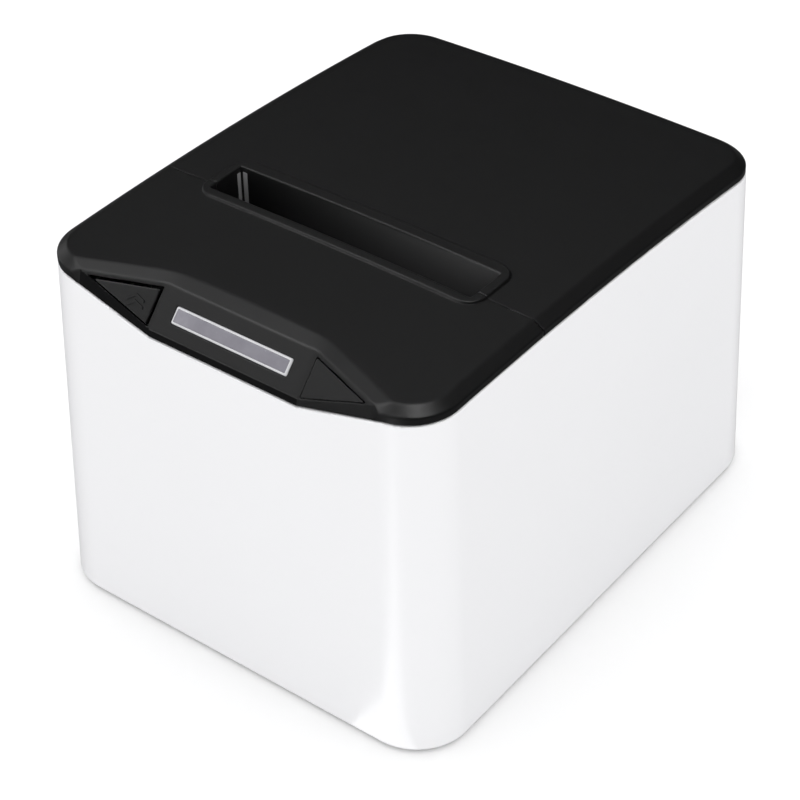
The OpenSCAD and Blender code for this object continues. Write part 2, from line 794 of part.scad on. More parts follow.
module motor_pinion() {
    color("gold")
    gear_x(gear_x0, platen_y, motor_z, gear_m, motor_teeth, gear_w, 90);
    rod_x(gear_x0, -plate_x + motor_shaft_len, platen_y, motor_z, motor_shaft_r);
}

// ---------------------------------------------------------------- cutter

cutter_half_x = 46;
cutter_back = slot_y0 - 0.6;
cutter_front = cutter_back - 36;
cutter_z = frame_top;
blade_z = cutter_z + 4;
blade_half_x = platen_arm_x - 2.6;
blade_back = cutter_back - 0.4;
blade_front = blade_back - 19;
rack_m = 0.8;
drive_teeth = 18;
cutter_pinion_teeth = 12;
rack_x = 31;
rack_w = 3;
drive_r = rack_m * drive_teeth / 2;
drive_x = rack_x - drive_r - mesh_play;
drive_y = blade_front - 3;
cutter_motor_x = drive_x - rack_m * (drive_teeth + cutter_pinion_teeth) / 2 - mesh_play;
floor_t = 1.2;
rail_t = 1.5;
rail_top = blade_z + 2.4;
module cutter_frame() {
    color("silver")
    difference() {
        union() {
            block([-cutter_half_x, cutter_front, cutter_z], [cutter_half_x, cutter_back, cutter_z + floor_t]);
            both_sides() {
                block([cutter_half_x - rail_t, cutter_front, cutter_z],
                      [cutter_half_x, cutter_back, rail_top]);
                block([blade_half_x + loose, cutter_front, cutter_z + floor_t - 0.1],
                      [cutter_half_x - 1, cutter_back, blade_z - 0.15]);
            }
            block([-cutter_half_x, cutter_front, cutter_z], [cutter_half_x, cutter_front + rail_t, rail_top]);
            rod_z(drive_x, drive_y, cutter_z, blade_z - 0.4, idler_pin_r);
        }
        rod_z(cutter_motor_x, drive_y, 0, cutter_z + 2, motor_boss_r + screw_play);
    }
}
rack_teeth = 5 + ceil(blade_stroke / (PI * rack_m));
// Rack of module m with its teeth towards -X: the pitch line at X = 0, the first tooth at Y = 0
function rack_points(m, count, depth) = let (
        pitch = PI * m,
        root = pitch / 4 + tooth_root * m * tan(pressure_angle) - backlash / 2,
        tip = pitch / 4 - tooth_tip * m * tan(pressure_angle) - backlash / 2,
        tooth = [[tooth_root * m, -root], [-tooth_tip * m, -tip],
                 [-tooth_tip * m, tip], [tooth_root * m, root]])
    concat([for (i = [0 : count - 1]) for (q = tooth) [q[0], q[1] + pitch * i]],
        [[depth, pitch * (count - 0.5)], [depth, -pitch / 2]]);
module moving_blade() {
    color("gainsboro") {
        block([-blade_half_x, blade_front, blade_z], [blade_half_x, blade_back, blade_z + blade_t]);
        block([rack_x + 1, blade_front - 12, blade_z], [rack_x + 5, blade_front + 1, blade_z + blade_t]);
        translate([rack_x, drive_y - PI * rack_m * 3, cutter_z + floor_t + 0.5])
            linear_extrude(blade_z - cutter_z - floor_t - 0.4)
            polygon(rack_points(rack_m, rack_teeth, rack_w));
    }
}
module cutter_drive() {
    color("white")
    difference() {
        translate([drive_x, drive_y, cutter_z + floor_t + 0.3])
            gear(rack_m, drive_teeth, blade_z - cutter_z - floor_t - 0.8, 180 / drive_teeth);
        rod_z(drive_x, drive_y, 0, far, idler_pin_r + running);
    }
}
module cutter_motor() {
    color("dimgray")
    difference() {
        union() {
            rod_z(cutter_motor_x, drive_y, cutter_z - cutter_motor_len, cutter_z, cutter_motor_r);
            rod_z(cutter_motor_x, drive_y, cutter_z - 1, cutter_z + floor_t, motor_boss_r);
        }
        rod_z(cutter_motor_x, drive_y, cutter_z - cutter_shaft_len - 2, far, motor_shaft_r + running);
    }
}
cutter_motor_len = 20;
cutter_motor_r = 8;
cutter_shaft_len = 10;
module cutter_pinion() {
    color("gold")
    translate([cutter_motor_x, drive_y, cutter_z + floor_t + 0.3])
        gear(rack_m, cutter_pinion_teeth, blade_z - cutter_z - floor_t - 0.8, 0);
    rod_z(cutter_motor_x, drive_y, cutter_z - cutter_shaft_len, cutter_z + floor_t + 0.4, motor_shaft_r);
}
counter_front = paper_y + 2;
module counter_blade() {
    color("gainsboro")
    block([-blade_half_x - 1, counter_front, blade_z + blade_t + 0.15],
          [blade_half_x + 1, slot_y1 - 1, blade_z + 2 * blade_t + 0.15]);
}
module tear_bar() {
    color("gainsboro")
    translate([0, slot_y0 + fixed_fit, slot_floor_z + 1.4])
        rotate([90, 0, 180])
        linear_extrude(0.5)
        polygon(concat([[-slot_half_l + 1, -1], [slot_half_l - 1, -1]],
            [for (i = [tear_teeth : -1 : 0]) for (u = [0, 0.5]) let (s = (i - u) / tear_teeth)
                if (s >= 0) [(2 * s - 1) * (slot_half_l - 1), u == 0 ? 1.2 : 0.3]]));
}
tear_teeth = 24;

// ---------------------------------------------------------------- lid

latch_pin_y = seam_y + 4;
latch_pin_z = 111;
latch_pin_r = 1.5;
// The latch's hooks pass outside the slot's pocket and outside the gears
drive_side = plate_x + plate_t + gear_gap + gear_w + 1.7;
hook_x0 = max(slot_half_l + pocket_t, drive_side) + 1.8;
hook_x1 = hook_x0 + 2.5;
bracket_x0 = hook_x1 + 0.8;
bracket_x1 = bracket_x0 + 2.4;
liner_t = 1.6;
liner_half_x = bracket_x1 + 1.3;
liner_y0 = slot_y1 + pocket_t + 1;
liner_y1 = back_y - 16;
liner_z0 = top_z(liner_half_x, liner_y0) - skin - loose;
liner_z1 = top_z(liner_half_x, liner_y1) - skin - loose;
liner_tilt = atan2(liner_z1 - liner_z0, liner_y1 - liner_y0);
liner_len = norm([liner_y1 - liner_y0, liner_z1 - liner_z0]);
lid_screw_r = 1.1;
lid_head_h = 1.3;
lid_screw_u = [12, liner_len - 12];
lid_screw_x = 46;
liner_rib_u = [26, 52];
module on_liner() {
    translate([0, liner_y0, liner_z0]) rotate([liner_tilt, 0, 0]) children();
}
module lid_cover() {
    color("#202022")
    difference() {
        union() {
            difference() {
                intersection() {
                    cover_solid(0, 0, 1);
                    behind_seam();
                }
                cover_solid(skin, skin, 40);
                below_parting(reveal);
            }
            intersection() {
                slot_frame();
                behind_seam();
            }
        }
        slot_hole();
        rod_x(-far, far, hinge_y, hinge_z, lid_sweep_r);
        on_liner()
            for (sx = [-1, 1]) for (u = lid_screw_u)
                translate([sx * lid_screw_x, u, -1]) cylinder(r = lid_screw_r + fixed_fit, h = 3.4, $fn = 20);
    }
}
module lid_liner() {
    color("#2b2b2e")
    difference() {
        union() {
            difference() {
                union() {
                    on_liner() translate([-liner_half_x, 0, -liner_t])
                        cube([2 * liner_half_x, liner_len, liner_t]);
                    on_liner() for (u = liner_rib_u) translate([-liner_half_x + 4, u, -5])
                        cube([2 * liner_half_x - 8, 1.6, 4]);
                }
                rod_x(-far, far, hinge_y, hinge_z, lid_sweep_r);
            }
            both_sides() {
                hinge_arm();
                platen_arm();
                latch_bracket();
            }
            block([-platen_arm_x - arm_t, slot_y1 + pocket_t + 0.3, slot_floor_z - 1],
                  [platen_arm_x + arm_t, slot_y1 + pocket_t + 2.3, liner_z0 - 1]);
            block([-platen_arm_x - 0.1, counter_front + 0.6, blade_z + 2 * blade_t + 0.35],
                  [platen_arm_x + 0.1, slot_y1 + pocket_t + 2.3, slot_floor_z - loose]);
        }
        rod_x(-far, far, platen_y, platen_z, bush_r + fixed_fit);
        rod_x(-far, far, hinge_y, hinge_z, pin_r + running);
        rod_x(-far, far, latch_pin_y, latch_pin_z, latch_pin_r + fixed_fit);
        on_liner()
            for (sx = [-1, 1]) for (u = lid_screw_u)
                translate([sx * lid_screw_x, u, -5]) cylinder(r = lid_screw_r + 0.2, h = 10);
    }
}
arm_rise = 8.4;
arm_lap = 8;
module hinge_arm() {
    rod_x(arm_x0, arm_x1, hinge_y, hinge_z, hinge_r);
    plate_x(arm_x0, arm_x1, [[hinge_y - hinge_r + 0.4, hinge_z], [hinge_y + hinge_r - 0.1, hinge_z],
        [hinge_y + hinge_r - 0.1, hinge_z + arm_rise], [hinge_y - 1, hinge_z + arm_rise + 2.6],
        [liner_y1 - arm_lap, liner_z1 - 0.9], [liner_y1 - arm_lap, liner_z1 - 3.4],
        [hinge_y - 7, hinge_z + arm_rise + 0.1]]);
}
module platen_arm() {
    low = platen_z - 2;
    back = mech_back - loose;
    lap = liner_y0 + 14;
    wall_y = slot_y1 + pocket_t + loose;
    rod_x(platen_arm_x, platen_arm_x + arm_t, platen_y, platen_z, bush_r + 1.6);
    plate_x(platen_arm_x, platen_arm_x + arm_t, [[platen_y - 5, low + 2], [platen_y + 5, low],
        [back, platen_z + 6], [back, deck_z + 1], [lap, deck_z + 6], [lap, liner_z0 - 1.9],
        [wall_y, liner_z0 - 1.2], [wall_y, slot_floor_z - loose], [platen_y - 5, slot_floor_z - loose]]);
}
eye_r = latch_pin_r + 1.5;
module latch_bracket() {
    plate_x(bracket_x0, bracket_x1, [[latch_pin_y - eye_r, latch_pin_z - eye_r],
        [latch_pin_y + eye_r, latch_pin_z - eye_r], [liner_y0 + 6, liner_z0 - 5],
        [liner_y0 + 6, liner_z0 - 0.9], [latch_pin_y - eye_r, liner_z0 - 1.5]]);
}
module latch_pins() {
    color("silver")
    both_sides() rod_x(hook_x0 - 0.8, bracket_x1 - 0.2, latch_pin_y, latch_pin_z, latch_pin_r);
}
module lid_screws() {
    color("silver")
    on_liner()
        for (sx = [-1, 1]) for (u = lid_screw_u) translate([sx * lid_screw_x, u, 0]) {
            translate([0, 0, -liner_t - lid_head_h - 0.1]) cylinder(r = 2 * lid_screw_r, h = lid_head_h);
            translate([0, 0, -liner_t - 0.2]) cylinder(r = lid_screw_r, h = liner_t + 1.8);
        }
}

// ---------------------------------------------------------------- latch

hook_y = latch_pin_y;
hook_front = hook_y - latch_pin_r - loose - 3;
hook_top = latch_pin_z + latch_pin_r + 2.4;
module latch_bar() {
    color("ivory")
    rod_x(-hook_x1, hook_x1, latch_y, latch_z, latch_r);
    both_sides() {
        rod_x(hook_x0 - 1.5, hook_x1, latch_y, latch_z, 4.5);
        plate_x(hook_x0, hook_x1, [[latch_y - 4, latch_z], [latch_y + 4, latch_z],
            [hook_front + 3, latch_pin_z - 6], [hook_front + 3, latch_pin_z + latch_pin_r + loose],
            [hook_y + 0.3, latch_pin_z + latch_pin_r + loose], [hook_y - 0.6, hook_top],
            [hook_front, hook_top], [hook_front, latch_pin_z - 8]]);
    }
    plate_x(hook_x0, hook_x1, [[latch_y - 1, latch_z + 3.5], [latch_y - 4, latch_z - 2],
        [pad_y - 3, pad_z - 12], [pad_y - 3, pad_z], [pad_y + 4, pad_z], [pad_y + 5, pad_z - 6]]);
    block([pad_x0, pad_y - 3, pad_z - 2], [hook_x1, pad_y + 4, pad_z]);
}

// ---------------------------------------------------------------- front panel

key_slack = 0.35;
flange_t = 1.2;
flange_out = 1.2;
key_m = incentre(to_facet(scoop_a), to_facet(scoop_b), to_facet(scoop_c));
facet_inward = -facet_out;
key_centre = scoop_b + facet_ex * key_m[0] + facet_ey * key_m[1];
skin_normal = 2.3;
release_stem = 6.5 + release_travel;
feed_stem = 6;
stem_tip = key_centre + facet_inward * (skin_normal + flange_t + release_stem);
pad_x0 = stem_tip[0] - 3;
pad_y = stem_tip[1];
pad_z = stem_tip[2] - 2.4;
module key(stem) {
    translate([0, 0, -skin_normal - 0.1])
        linear_extrude(skin_normal + 0.1) polygon(drawn_in(key_border + key_gap));
    translate([0, 0, -skin_normal - key_slack - flange_t])
        linear_extrude(flange_t) polygon(drawn_in(key_border + key_gap - flange_out));
    translate([0, 0, -skin_normal - key_slack - 0.1])
        linear_extrude(key_slack + 0.2) polygon(drawn_in(key_border + key_gap));
    translate([key_m[0], key_m[1], -skin_normal - flange_t - key_slack - stem])
        cylinder(r = 1.8, h = stem + 0.1);
}
module key_hole() {
    translate([0, 0, -6]) linear_extrude(12) polygon(drawn_in(key_border));
}
module feed_key() {
    color("#1c1c1e") mirror([1, 0, 0]) on_facet() key(feed_stem);
}
module release_key() {
    color("#1c1c1e") on_facet() key(release_stem);
}
module front_cover() {
    color("#202022")
    difference() {
        union() {
            difference() {
                intersection() {
                    front_outer();
                    before_seam();
                }
                front_inner();
                below_parting(reveal);
            }
            intersection() {
                slot_frame();
                before_seam();
            }
            both_sides() on_panel()
                translate([board_boss_x, board_boss_u, -board_depth])
                cylinder(r = board_boss_r, h = board_depth - 1, $fn = 20);
            intersection() {
                cover_solid(1, 1, 30);
                mirror([1, 0, 0]) on_facet()
                    translate([key_m[0], 10, -switch_depth]) cylinder(r = 2, h = 24, $fn = 20);
            }
        }
        slot_hole();
        both_sides() on_facet() key_hole();
        on_panel() translate([-lens_w / 2, lens_rise, -6]) cube([lens_w, lens_h, 12]);
    }
}
lens_gap = 0.1;
module window_lens() {
    color("lavender")
    on_panel() {
        translate([-lens_w / 2 + lens_gap, lens_rise + lens_gap, -2.6])
            cube([lens_w - 2 * lens_gap, lens_h - 2 * lens_gap, 2.6]);
        translate([-lens_w / 2 - 1, lens_rise - 0.8, -3.4])
            cube([lens_w + 2, lens_h + 1.6, 0.9]);
    }
}
board_t = 1.6;
board_depth = 7.5;
board_half_x = 26;
board_boss_x = 24;
board_boss_u = 6;
board_boss_r = 1.6;
module panel_board() {
    color("darkgreen")
    on_panel() translate([-board_half_x, 0.5, -board_depth - board_t]) cube([2 * board_half_x, 11, board_t]);
}
led_x = [-12, 0, 12];
led_w = 3;
led_h = 1.4;
module status_leds() {
    color("ivory")
    on_panel() for (x = led_x) {
        translate([x - led_w / 2, lens_rise + lens_h / 2 - led_w * 0.4, -board_depth])
            cube([led_w, led_w * 0.8, led_h]);
        translate([x, lens_rise + lens_h / 2, -board_depth + led_h - 0.1]) cylinder(r = led_w / 3, h = 1.6);
    }
}
tact_w = 6;
tact_h = 3.5;
tact_board_t = 1.5;
switch_depth = skin_normal + key_slack + flange_t + feed_stem + feed_travel + 0.15 + tact_h;
module feed_switch() {
    color("black")
    mirror([1, 0, 0]) on_facet()
        translate([key_m[0], key_m[1], -switch_depth]) {
            translate([-tact_w / 2, -tact_w / 2, 0]) cube([tact_w, tact_w, tact_h]);
            translate([-tact_w / 2 - 1, -tact_w / 2 - 1, -tact_board_t]) cube([tact_w + 2, 17, tact_board_t]);
        }
}

// ---------------------------------------------------------------- boards and ports

main_z = 10;
main_t = 1.6;
main_top = main_z + main_t;
main_half_x = 44;
main_front = front_y + 12;
main_back = back_y - 4;
panel_y = back_y - 2.8;
panel_t = 2;
module main_board() {
    color("darkgreen")
    difference() {
        block([-main_half_x, main_front, main_z], [main_half_x, main_back, main_top]);
        board_screw_places() rod_z(0, 0, 0, far, screw_r + screw_play);
    }
    chip([-12, main_front + 42], [24, 22, 2.4]);
    chip([16, main_front + 20], [10, 14, 1.8]);
}
// Chip on the board with its corner at a place in X and Y
module chip(place, size) {
    translate([place[0], place[1], main_top - 0.1]) cube([size[0], size[1], size[2] + 0.1]);
}
module board_screw_places() {
    for (sx = [-1, 1]) for (y = board_screw_y)
        translate([sx * board_screw_x, y, 0]) children();
}
board_screw_x = 40;
standoff_r = 3;
board_screw_y = [main_front + 6, main_back - 44];
module board_screws() {
    color("gold")
    board_screw_places() {
        rod_z(0, 0, base_top, main_z, standoff_r);
        rod_z(0, 0, main_z - 0.1, main_top + 0.1, screw_r);
        rod_z(0, 0, main_top, main_top + screw_head_h, pan_head_r);
    }
}
socket_out = panel_y + panel_t + 0.6;
// Socket on the board's back edge with a hollow of width w and height h
module socket(x, w, h, hole_w, hole_h, depth) {
    difference() {
        block([x - w / 2, socket_out - depth, main_top], [x + w / 2, socket_out, main_top + h]);
        block([x - hole_w / 2, socket_out - depth + 2, main_top + (h - hole_h) / 2],
              [x + hole_w / 2, socket_out + 1, main_top + (h + hole_h) / 2]);
    }
}
jack_x = 34;
drawer_x = 14;
usb_x = -8;
lan_x = -30;
// Outer width and height of each socket
jack_size = [14, 13];
drawer_size = [13, 12];
usb_size = [12, 11];
lan_size = [16, 13.4];
port_gap = 0.3;
jack_r = 5;
jack_pin_r = 0.5;
jack_pin_ring = 2.6;
module power_jack() {
    mid_z = main_top + jack_size[1] / 2;
    color("black")
    difference() {
        block([jack_x - jack_size[0] / 2, socket_out - 16, main_top],
              [jack_x + jack_size[0] / 2, socket_out, main_top + jack_size[1]]);
        rod_y(jack_x, socket_out - 12, socket_out + 1, mid_z, jack_r);
    }
    for (a = [90, 210, 330])
        rod_y(jack_x + jack_pin_ring * cos(a), socket_out - 12.1, socket_out - 4,
              mid_z + jack_pin_ring * sin(a), jack_pin_r);
}
module drawer_port() {
    color("black") socket(drawer_x, drawer_size[0], drawer_size[1], 9.8, 8, 16);
}
module lan_port() {
    color("silver") socket(lan_x, lan_size[0], lan_size[1], 12, 9, 20);
}
usb_tongue = [5.6, 9.1, 3.2];
module usb_port() {
    color("silver") {
        socket(usb_x, usb_size[0], usb_size[1], 8.6, 8, 16);
        translate([usb_x, socket_out - 14.1, main_top + (usb_size[1] - usb_tongue[2]) / 2])
            translate([-usb_tongue[0] / 2, 0, 0]) cube(usb_tongue);
    }
}
// Hole in the rear panel for a socket of an outer size
module port_hole(x, size) {
    block([x - size[0] / 2 - port_gap, 0, main_top - port_gap],
          [x + size[0] / 2 + port_gap, far, main_top + size[1] + port_gap]);
}
panel_lap = 3;
module rear_panel() {
    color("#2b2b2e")
    difference() {
        block([-port_half_w - panel_lap, panel_y, base_top + 0.4],
              [port_half_w + panel_lap, panel_y + panel_t, port_z1 + panel_lap]);
        port_hole(jack_x, jack_size);
        port_hole(drawer_x, drawer_size);
        port_hole(usb_x, usb_size);
        port_hole(lan_x, lan_size);
    }
}
switch_y = back_y + 1.2;
switch_deep = 10.5;
switch_play = 0.15;
rocker_y = switch_y - 4;
rocker_pin_r = 1;
rocker_pin_end = switch_w / 2 - 1.2;
module switch_body() {
    half_w = switch_w / 2 - switch_play;
    half_h = switch_h / 2 - switch_play;
    color("black")
    difference() {
        block([switch_x - half_w, switch_y - switch_deep, switch_z - half_h],
              [switch_x + half_w, switch_y + 1.4, switch_z + half_h]);
        block([switch_x - rocker_half_x - loose, switch_y - switch_deep + 2, switch_z - 8],
              [switch_x + rocker_half_x + loose, far, switch_z + 8]);
        rod_x(switch_x - rocker_pin_end - 0.2, switch_x + rocker_pin_end + 0.2,
              rocker_y, switch_z, rocker_pin_r + running);
    }
}
rocker_half_x = 4;
module power_rocker() {
    color("black")
    intersection() {
        plate_x(switch_x - rocker_half_x, switch_x + rocker_half_x, [[switch_y - 5.6, switch_z - 2.4],
            [switch_y - 3, switch_z - 6.6], [switch_y + 2.8, switch_z - 7], [switch_y + 1, switch_z],
            [switch_y - 0.4, switch_z + 7], [switch_y - 5, switch_z + 6], [switch_y - 5.6, switch_z + 2.4]]);
        rod_x(switch_x - rocker_half_x, switch_x + rocker_half_x, rocker_y, switch_z, 7.9);
    }
    rod_x(switch_x - rocker_pin_end, switch_x + rocker_pin_end, rocker_y, switch_z, rocker_pin_r);
}
buzzer_x = -28;
buzzer_in = 16;
buzzer_r = 6;
buzzer_h = 7;
module buzzer() {
    color("black")
    rod_z(buzzer_x, main_front + buzzer_in, main_top, main_top + buzzer_h, buzzer_r);
}

body_shell();
base_plate();
rubber_feet();
base_screws();
front_cover();
window_lens();
panel_board();
status_leds();
feed_switch();
feed_key();
release_key();
lid_cover();
lid_liner();
lid_screws();
hinge_pins();
chassis();
paper_sensor();
mech_frame();
mech_screws();
head_pin();
head_heatsink();
thermal_head();
head_springs();
head_ribbon();
platen_roller();
platen_shaft();
platen_gear();
platen_bushes();
idler_gear();
idler_pin();
step_motor();
motor_pinion();
cutter_frame();
moving_blade();
cutter_drive();
cutter_motor();
cutter_pinion();
counter_blade();
tear_bar();
latch_bar();
latch_pins();
main_board();
power_jack();
drawer_port();
lan_port();
usb_port();
rear_panel();
switch_body();
power_rocker();
buzzer();
board_screws();
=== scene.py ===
"""Receipt printer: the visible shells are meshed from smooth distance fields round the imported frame."""
import json
import math

import bmesh
import bpy
import numpy as np
from mathutils import Matrix, Vector


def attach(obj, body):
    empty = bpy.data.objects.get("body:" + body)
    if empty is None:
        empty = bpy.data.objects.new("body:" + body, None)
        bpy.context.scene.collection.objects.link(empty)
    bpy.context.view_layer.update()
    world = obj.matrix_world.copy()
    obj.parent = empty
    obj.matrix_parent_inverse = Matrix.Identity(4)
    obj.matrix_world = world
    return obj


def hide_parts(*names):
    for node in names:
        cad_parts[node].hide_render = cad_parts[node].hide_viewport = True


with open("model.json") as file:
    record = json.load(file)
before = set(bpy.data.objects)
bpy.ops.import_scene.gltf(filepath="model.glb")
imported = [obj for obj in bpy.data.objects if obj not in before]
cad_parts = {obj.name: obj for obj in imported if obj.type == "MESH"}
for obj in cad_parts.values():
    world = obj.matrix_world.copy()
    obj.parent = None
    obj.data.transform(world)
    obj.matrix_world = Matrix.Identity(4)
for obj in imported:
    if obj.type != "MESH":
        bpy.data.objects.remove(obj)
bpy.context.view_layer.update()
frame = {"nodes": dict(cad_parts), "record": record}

MM = 0.001

# ---------------------------------------------------------------- sizes, in millimetres
# The casing, its parting line and the covers' edge
BODY_W = 139.5
BODY_D = 176.0
CORNER_R = 16.0
BASE_CORNER_R = 18.0
FLARE = 4.2
WALL = 2.6
FOOT_GAP = 1.2
PARTING_Z = 118.7
PARTING_PEAK_Y = -49.0
PARTING_R = 1403.0
REVEAL = 0.3
SKIN = 2.2
BAND_H = 2.6
CHAMFER_H = 2.2
CHAMFER_W = 3.4
CROWN_H = 1.3
SEAM_Y = -32.8
SEAM_GAP = 0.22

# The front scoop: the middle panel's half width, the depth and height of its upper and its lower edge, the
# facets' outer ends, and the strip above them
PANEL_X = 26.7
PANEL_TOP = (10.1, 122.8)
PANEL_FOOT = (0.6, 112.6)
SCOOP_X = 52.5
SCOOP_END = 1.3
STRIP_W = 4.4
# The dip in the casing's front edge, and the cover's band between the dip and the scoop
DIP_Z = 109.9
DIP_DEPTH = 14.0
DIP_X = 56.0
BAND_END_SLOPE = 0.35
BAND_REACH = 3.0
BAND_MARGIN = 0.1
# Depth of the holes for the window and the keys
HOLE_DEPTH = 6.0
# The window: its outline, its clear edge that stands proud with a painted highlight, and its frosted middle
# a little lower
LENS_W = 41.8
LENS_H = 5.4
LENS_RISE = 4.0
LENS_T = 2.4
LENS_CORNER_R = 0.6
LENS_PROUD = 0.45
LENS_SUNK = 0.2
LENS_EDGE = 0.75
LENS_FIT = 0.06
BEVEL_SHARE = 0.6
LENS_MIDDLE_R = 0.3
# Border of the facet beside a key at its upper, inner and lower edge, and the grooves there
KEY_BORDER = (1.15, 0.85, 0.15)
FEED_GAP = (0.8, 0.7, 0.3)
RELEASE_GAP = (0.28, 0.03, 0.03)
# Rounding of the feed key's and the release key's upper edges, and of a key's and its hole's corners
FEED_ROUND = 0.4
RELEASE_ROUND = 0.12
KEY_CORNER_R = 0.6
KEY_HOLE_R = 0.4
KEY_T = 2.4

# The paper slot and its raised rim
SLOT_X = 47.4
SLOT_Y0 = -36.0
SLOT_Y1 = -21.7
SLOT_FLOOR = 107.0
RIM_H = 0.9
RIM_SIDE = 3.3
RIM_FRONT = 3.5
RIM_BACK = 4.4
RIM_CORNER_R = 6.0
SLOT_CORNER_R = 0.6
POCKET_T = 1.8
POCKET_CORNER_R = 1.6
POCKET_SUNK = 0.5

# The hinge notches and the openings at the back
HINGE_Y = 84.8
HINGE_Z = 102.0
LID_SWEEP_R = 11.1
NOTCH_X = (45.3, 56.3)
NOTCH_Z = (98.0, 200.0)
PORT_X = 46.0
PORT_Z = (7.0, 29.0)
SWITCH_X = 55.0
SWITCH_Z = 50.0
SWITCH_W = 13.0
SWITCH_H = 19.0

# Width over which two faces pass into each other at an edge
CHAMFER_BLEND = 0.35
SCOOP_BLEND = 0.25
PANEL_BLEND = 0.3
FACET_BLEND = 0.4
BAND_BLEND = 0.2
COVER_FOOT_BLEND = 0.5
COVER_INSIDE_BLEND = 0.3
RIM_BLEND = 0.7
RIM_FOOT_BLEND = 0.35
SLOT_BLEND = 0.6
SEAM_BLEND = 0.1
KEY_HOLE_BLEND = 0.12
LENS_BLEND = 0.2
LENS_INSIDE_BLEND = 0.15
CASING_TOP_BLEND = 0.25
CASING_FOOT_BLEND = 0.9
CASING_INSIDE_BLEND = 0.4
OPENING_R = 0.8
OPENING_BLEND = 0.6

FRONT_Y = -BODY_D / 2
BACK_Y = BODY_D / 2
RISE = BAND_H + CHAMFER_H
OPENING_Y = (BACK_Y - 8, BACK_Y + 20)
FLARE_TOP_Z = PARTING_Z - 0.3
SLOT_MID_Y = (SLOT_Y0 + SLOT_Y1) / 2
SLOT_HALF_Y = (SLOT_Y1 - SLOT_Y0) / 2


# ---------------------------------------------------------------- distance fields

def parting(y):
    """Height of the line between casing and covers."""
    return PARTING_Z - (y - PARTING_PEAK_Y) ** 2 / (2 * PARTING_R)


def crown(x):
    """Rise of the covers' top towards the middle."""
    return CROWN_H * (1 - (2 * x / BODY_W) ** 2)


def smax(a, b, k):
    """Intersection of two fields, with its edge rounded over a width k."""
    h = np.maximum(k - np.abs(a - b), 0) / k
    return np.maximum(a, b) + h * h * k / 4


def smin(a, b, k):
    """Union of two fields, with its inner corner rounded over a width k."""
    return -smax(-a, -b, k)


def rounded_rect(x, y, hx, hy, r):
    """Distance to a rounded rectangle in the plane."""
    qx = np.abs(x) - (hx - r)
    qy = np.abs(y) - (hy - r)
    outside = np.hypot(np.maximum(qx, 0), np.maximum(qy, 0))
    return outside + np.minimum(np.maximum(qx, qy), 0) - r


def box_field(x, y, z, low, high, k):
    """Box from its lowest to its highest corner, with rounded edges."""
    d = [np.maximum(a - q, p - a) for a, p, q in zip((x, y, z), low, high)]
    return smax(smax(d[0], d[1], k), d[2], k)


def plane(point, normal):
    """Height above a plane, as a function of the point."""
    n = np.array(normal, float) / np.linalg.norm(normal)
    return lambda x, y, z: (x - point[0]) * n[0] + (y - point[1]) * n[1] + (z - point[2]) * n[2]


# Corners of the scoop on its right side
SCOOP_B = np.array((PANEL_X, FRONT_Y + PANEL_TOP[0], PANEL_TOP[1]))
SCOOP_C = np.array((PANEL_X, FRONT_Y + PANEL_FOOT[0], PANEL_FOOT[1]))
SCOOP_A = np.array((SCOOP_X, FRONT_Y + SCOOP_END,
                    parting(FRONT_Y) + BAND_H + crown(SCOOP_X) + CHAMFER_H * SCOOP_END / CHAMFER_W))
STRIP_TOP_Y = SCOOP_B[1] + STRIP_W
STRIP_TOP = np.array((PANEL_X, STRIP_TOP_Y, parting(STRIP_TOP_Y) + RISE + crown(PANEL_X)))


def upward(n):
    """A normal, turned to point up."""
    return n if n[2] > 0 else -n


def forward(n):
    """A normal, turned to point to the front."""
    return n if n[1] < 0 else -n


# Directions in the facet's plane, and the scoop's planes
FACET_N = upward(np.cross(SCOOP_B - SCOOP_C, SCOOP_A - SCOOP_C))
FACET_N = FACET_N / np.linalg.norm(FACET_N)
FACET_EX = np.array((-FACET_N[1], FACET_N[0], 0)) / math.hypot(FACET_N[0], FACET_N[1])
FACET_EY = np.cross(FACET_N, FACET_EX)
PANEL_N = upward(np.cross((1, 0, 0), SCOOP_B - SCOOP_C))
PANEL_N = PANEL_N / np.linalg.norm(PANEL_N)
PANEL_UP = (SCOOP_B - SCOOP_C) / np.linalg.norm(SCOOP_B - SCOOP_C)
STRIP_N = upward(np.cross((1, 0, 0), STRIP_TOP - SCOOP_B))
STRIP_SIDE_N = upward(np.cross(SCOOP_A - SCOOP_B, STRIP_TOP - SCOOP_B))
BAND_FOOT = np.array((PANEL_X, FRONT_Y, DIP_Z + REVEAL))
band_plane = plane(SCOOP_C, forward(np.cross((1, 0, 0), SCOOP_C - BAND_FOOT)))
band_side_plane = plane(SCOOP_C, forward(np.cross(SCOOP_A - SCOOP_C, SCOOP_C - BAND_FOOT)))
panel_plane = plane(SCOOP_C, PANEL_N)
facet_plane = plane(SCOOP_B, FACET_N)
strip_plane = plane(SCOOP_B, STRIP_N)
strip_side_plane = plane(SCOOP_B, STRIP_SIDE_N)


def scoop_faces(x, y, z):
    """Fields of the strip and of the panels: the covers lie below both."""
    ax = np.abs(x)
    strip = smin(strip_plane(x, y, z), strip_side_plane(ax, y, z), FACET_BLEND)
    panels = smin(panel_plane(x, y, z), facet_plane(ax, y, z), FACET_BLEND)
    return strip, panels


def scoop_band(x, y, z):
    """Field of the leaning bands below the scoop, from the casing's edge up to the panels' lower edges."""
    ax = np.abs(x)
    side = band_side_plane(ax, y, z) - BAND_END_SLOPE * np.maximum(ax - SCOOP_X, 0)
    return smin(band_plane(x, y, z), side, BAND_BLEND)


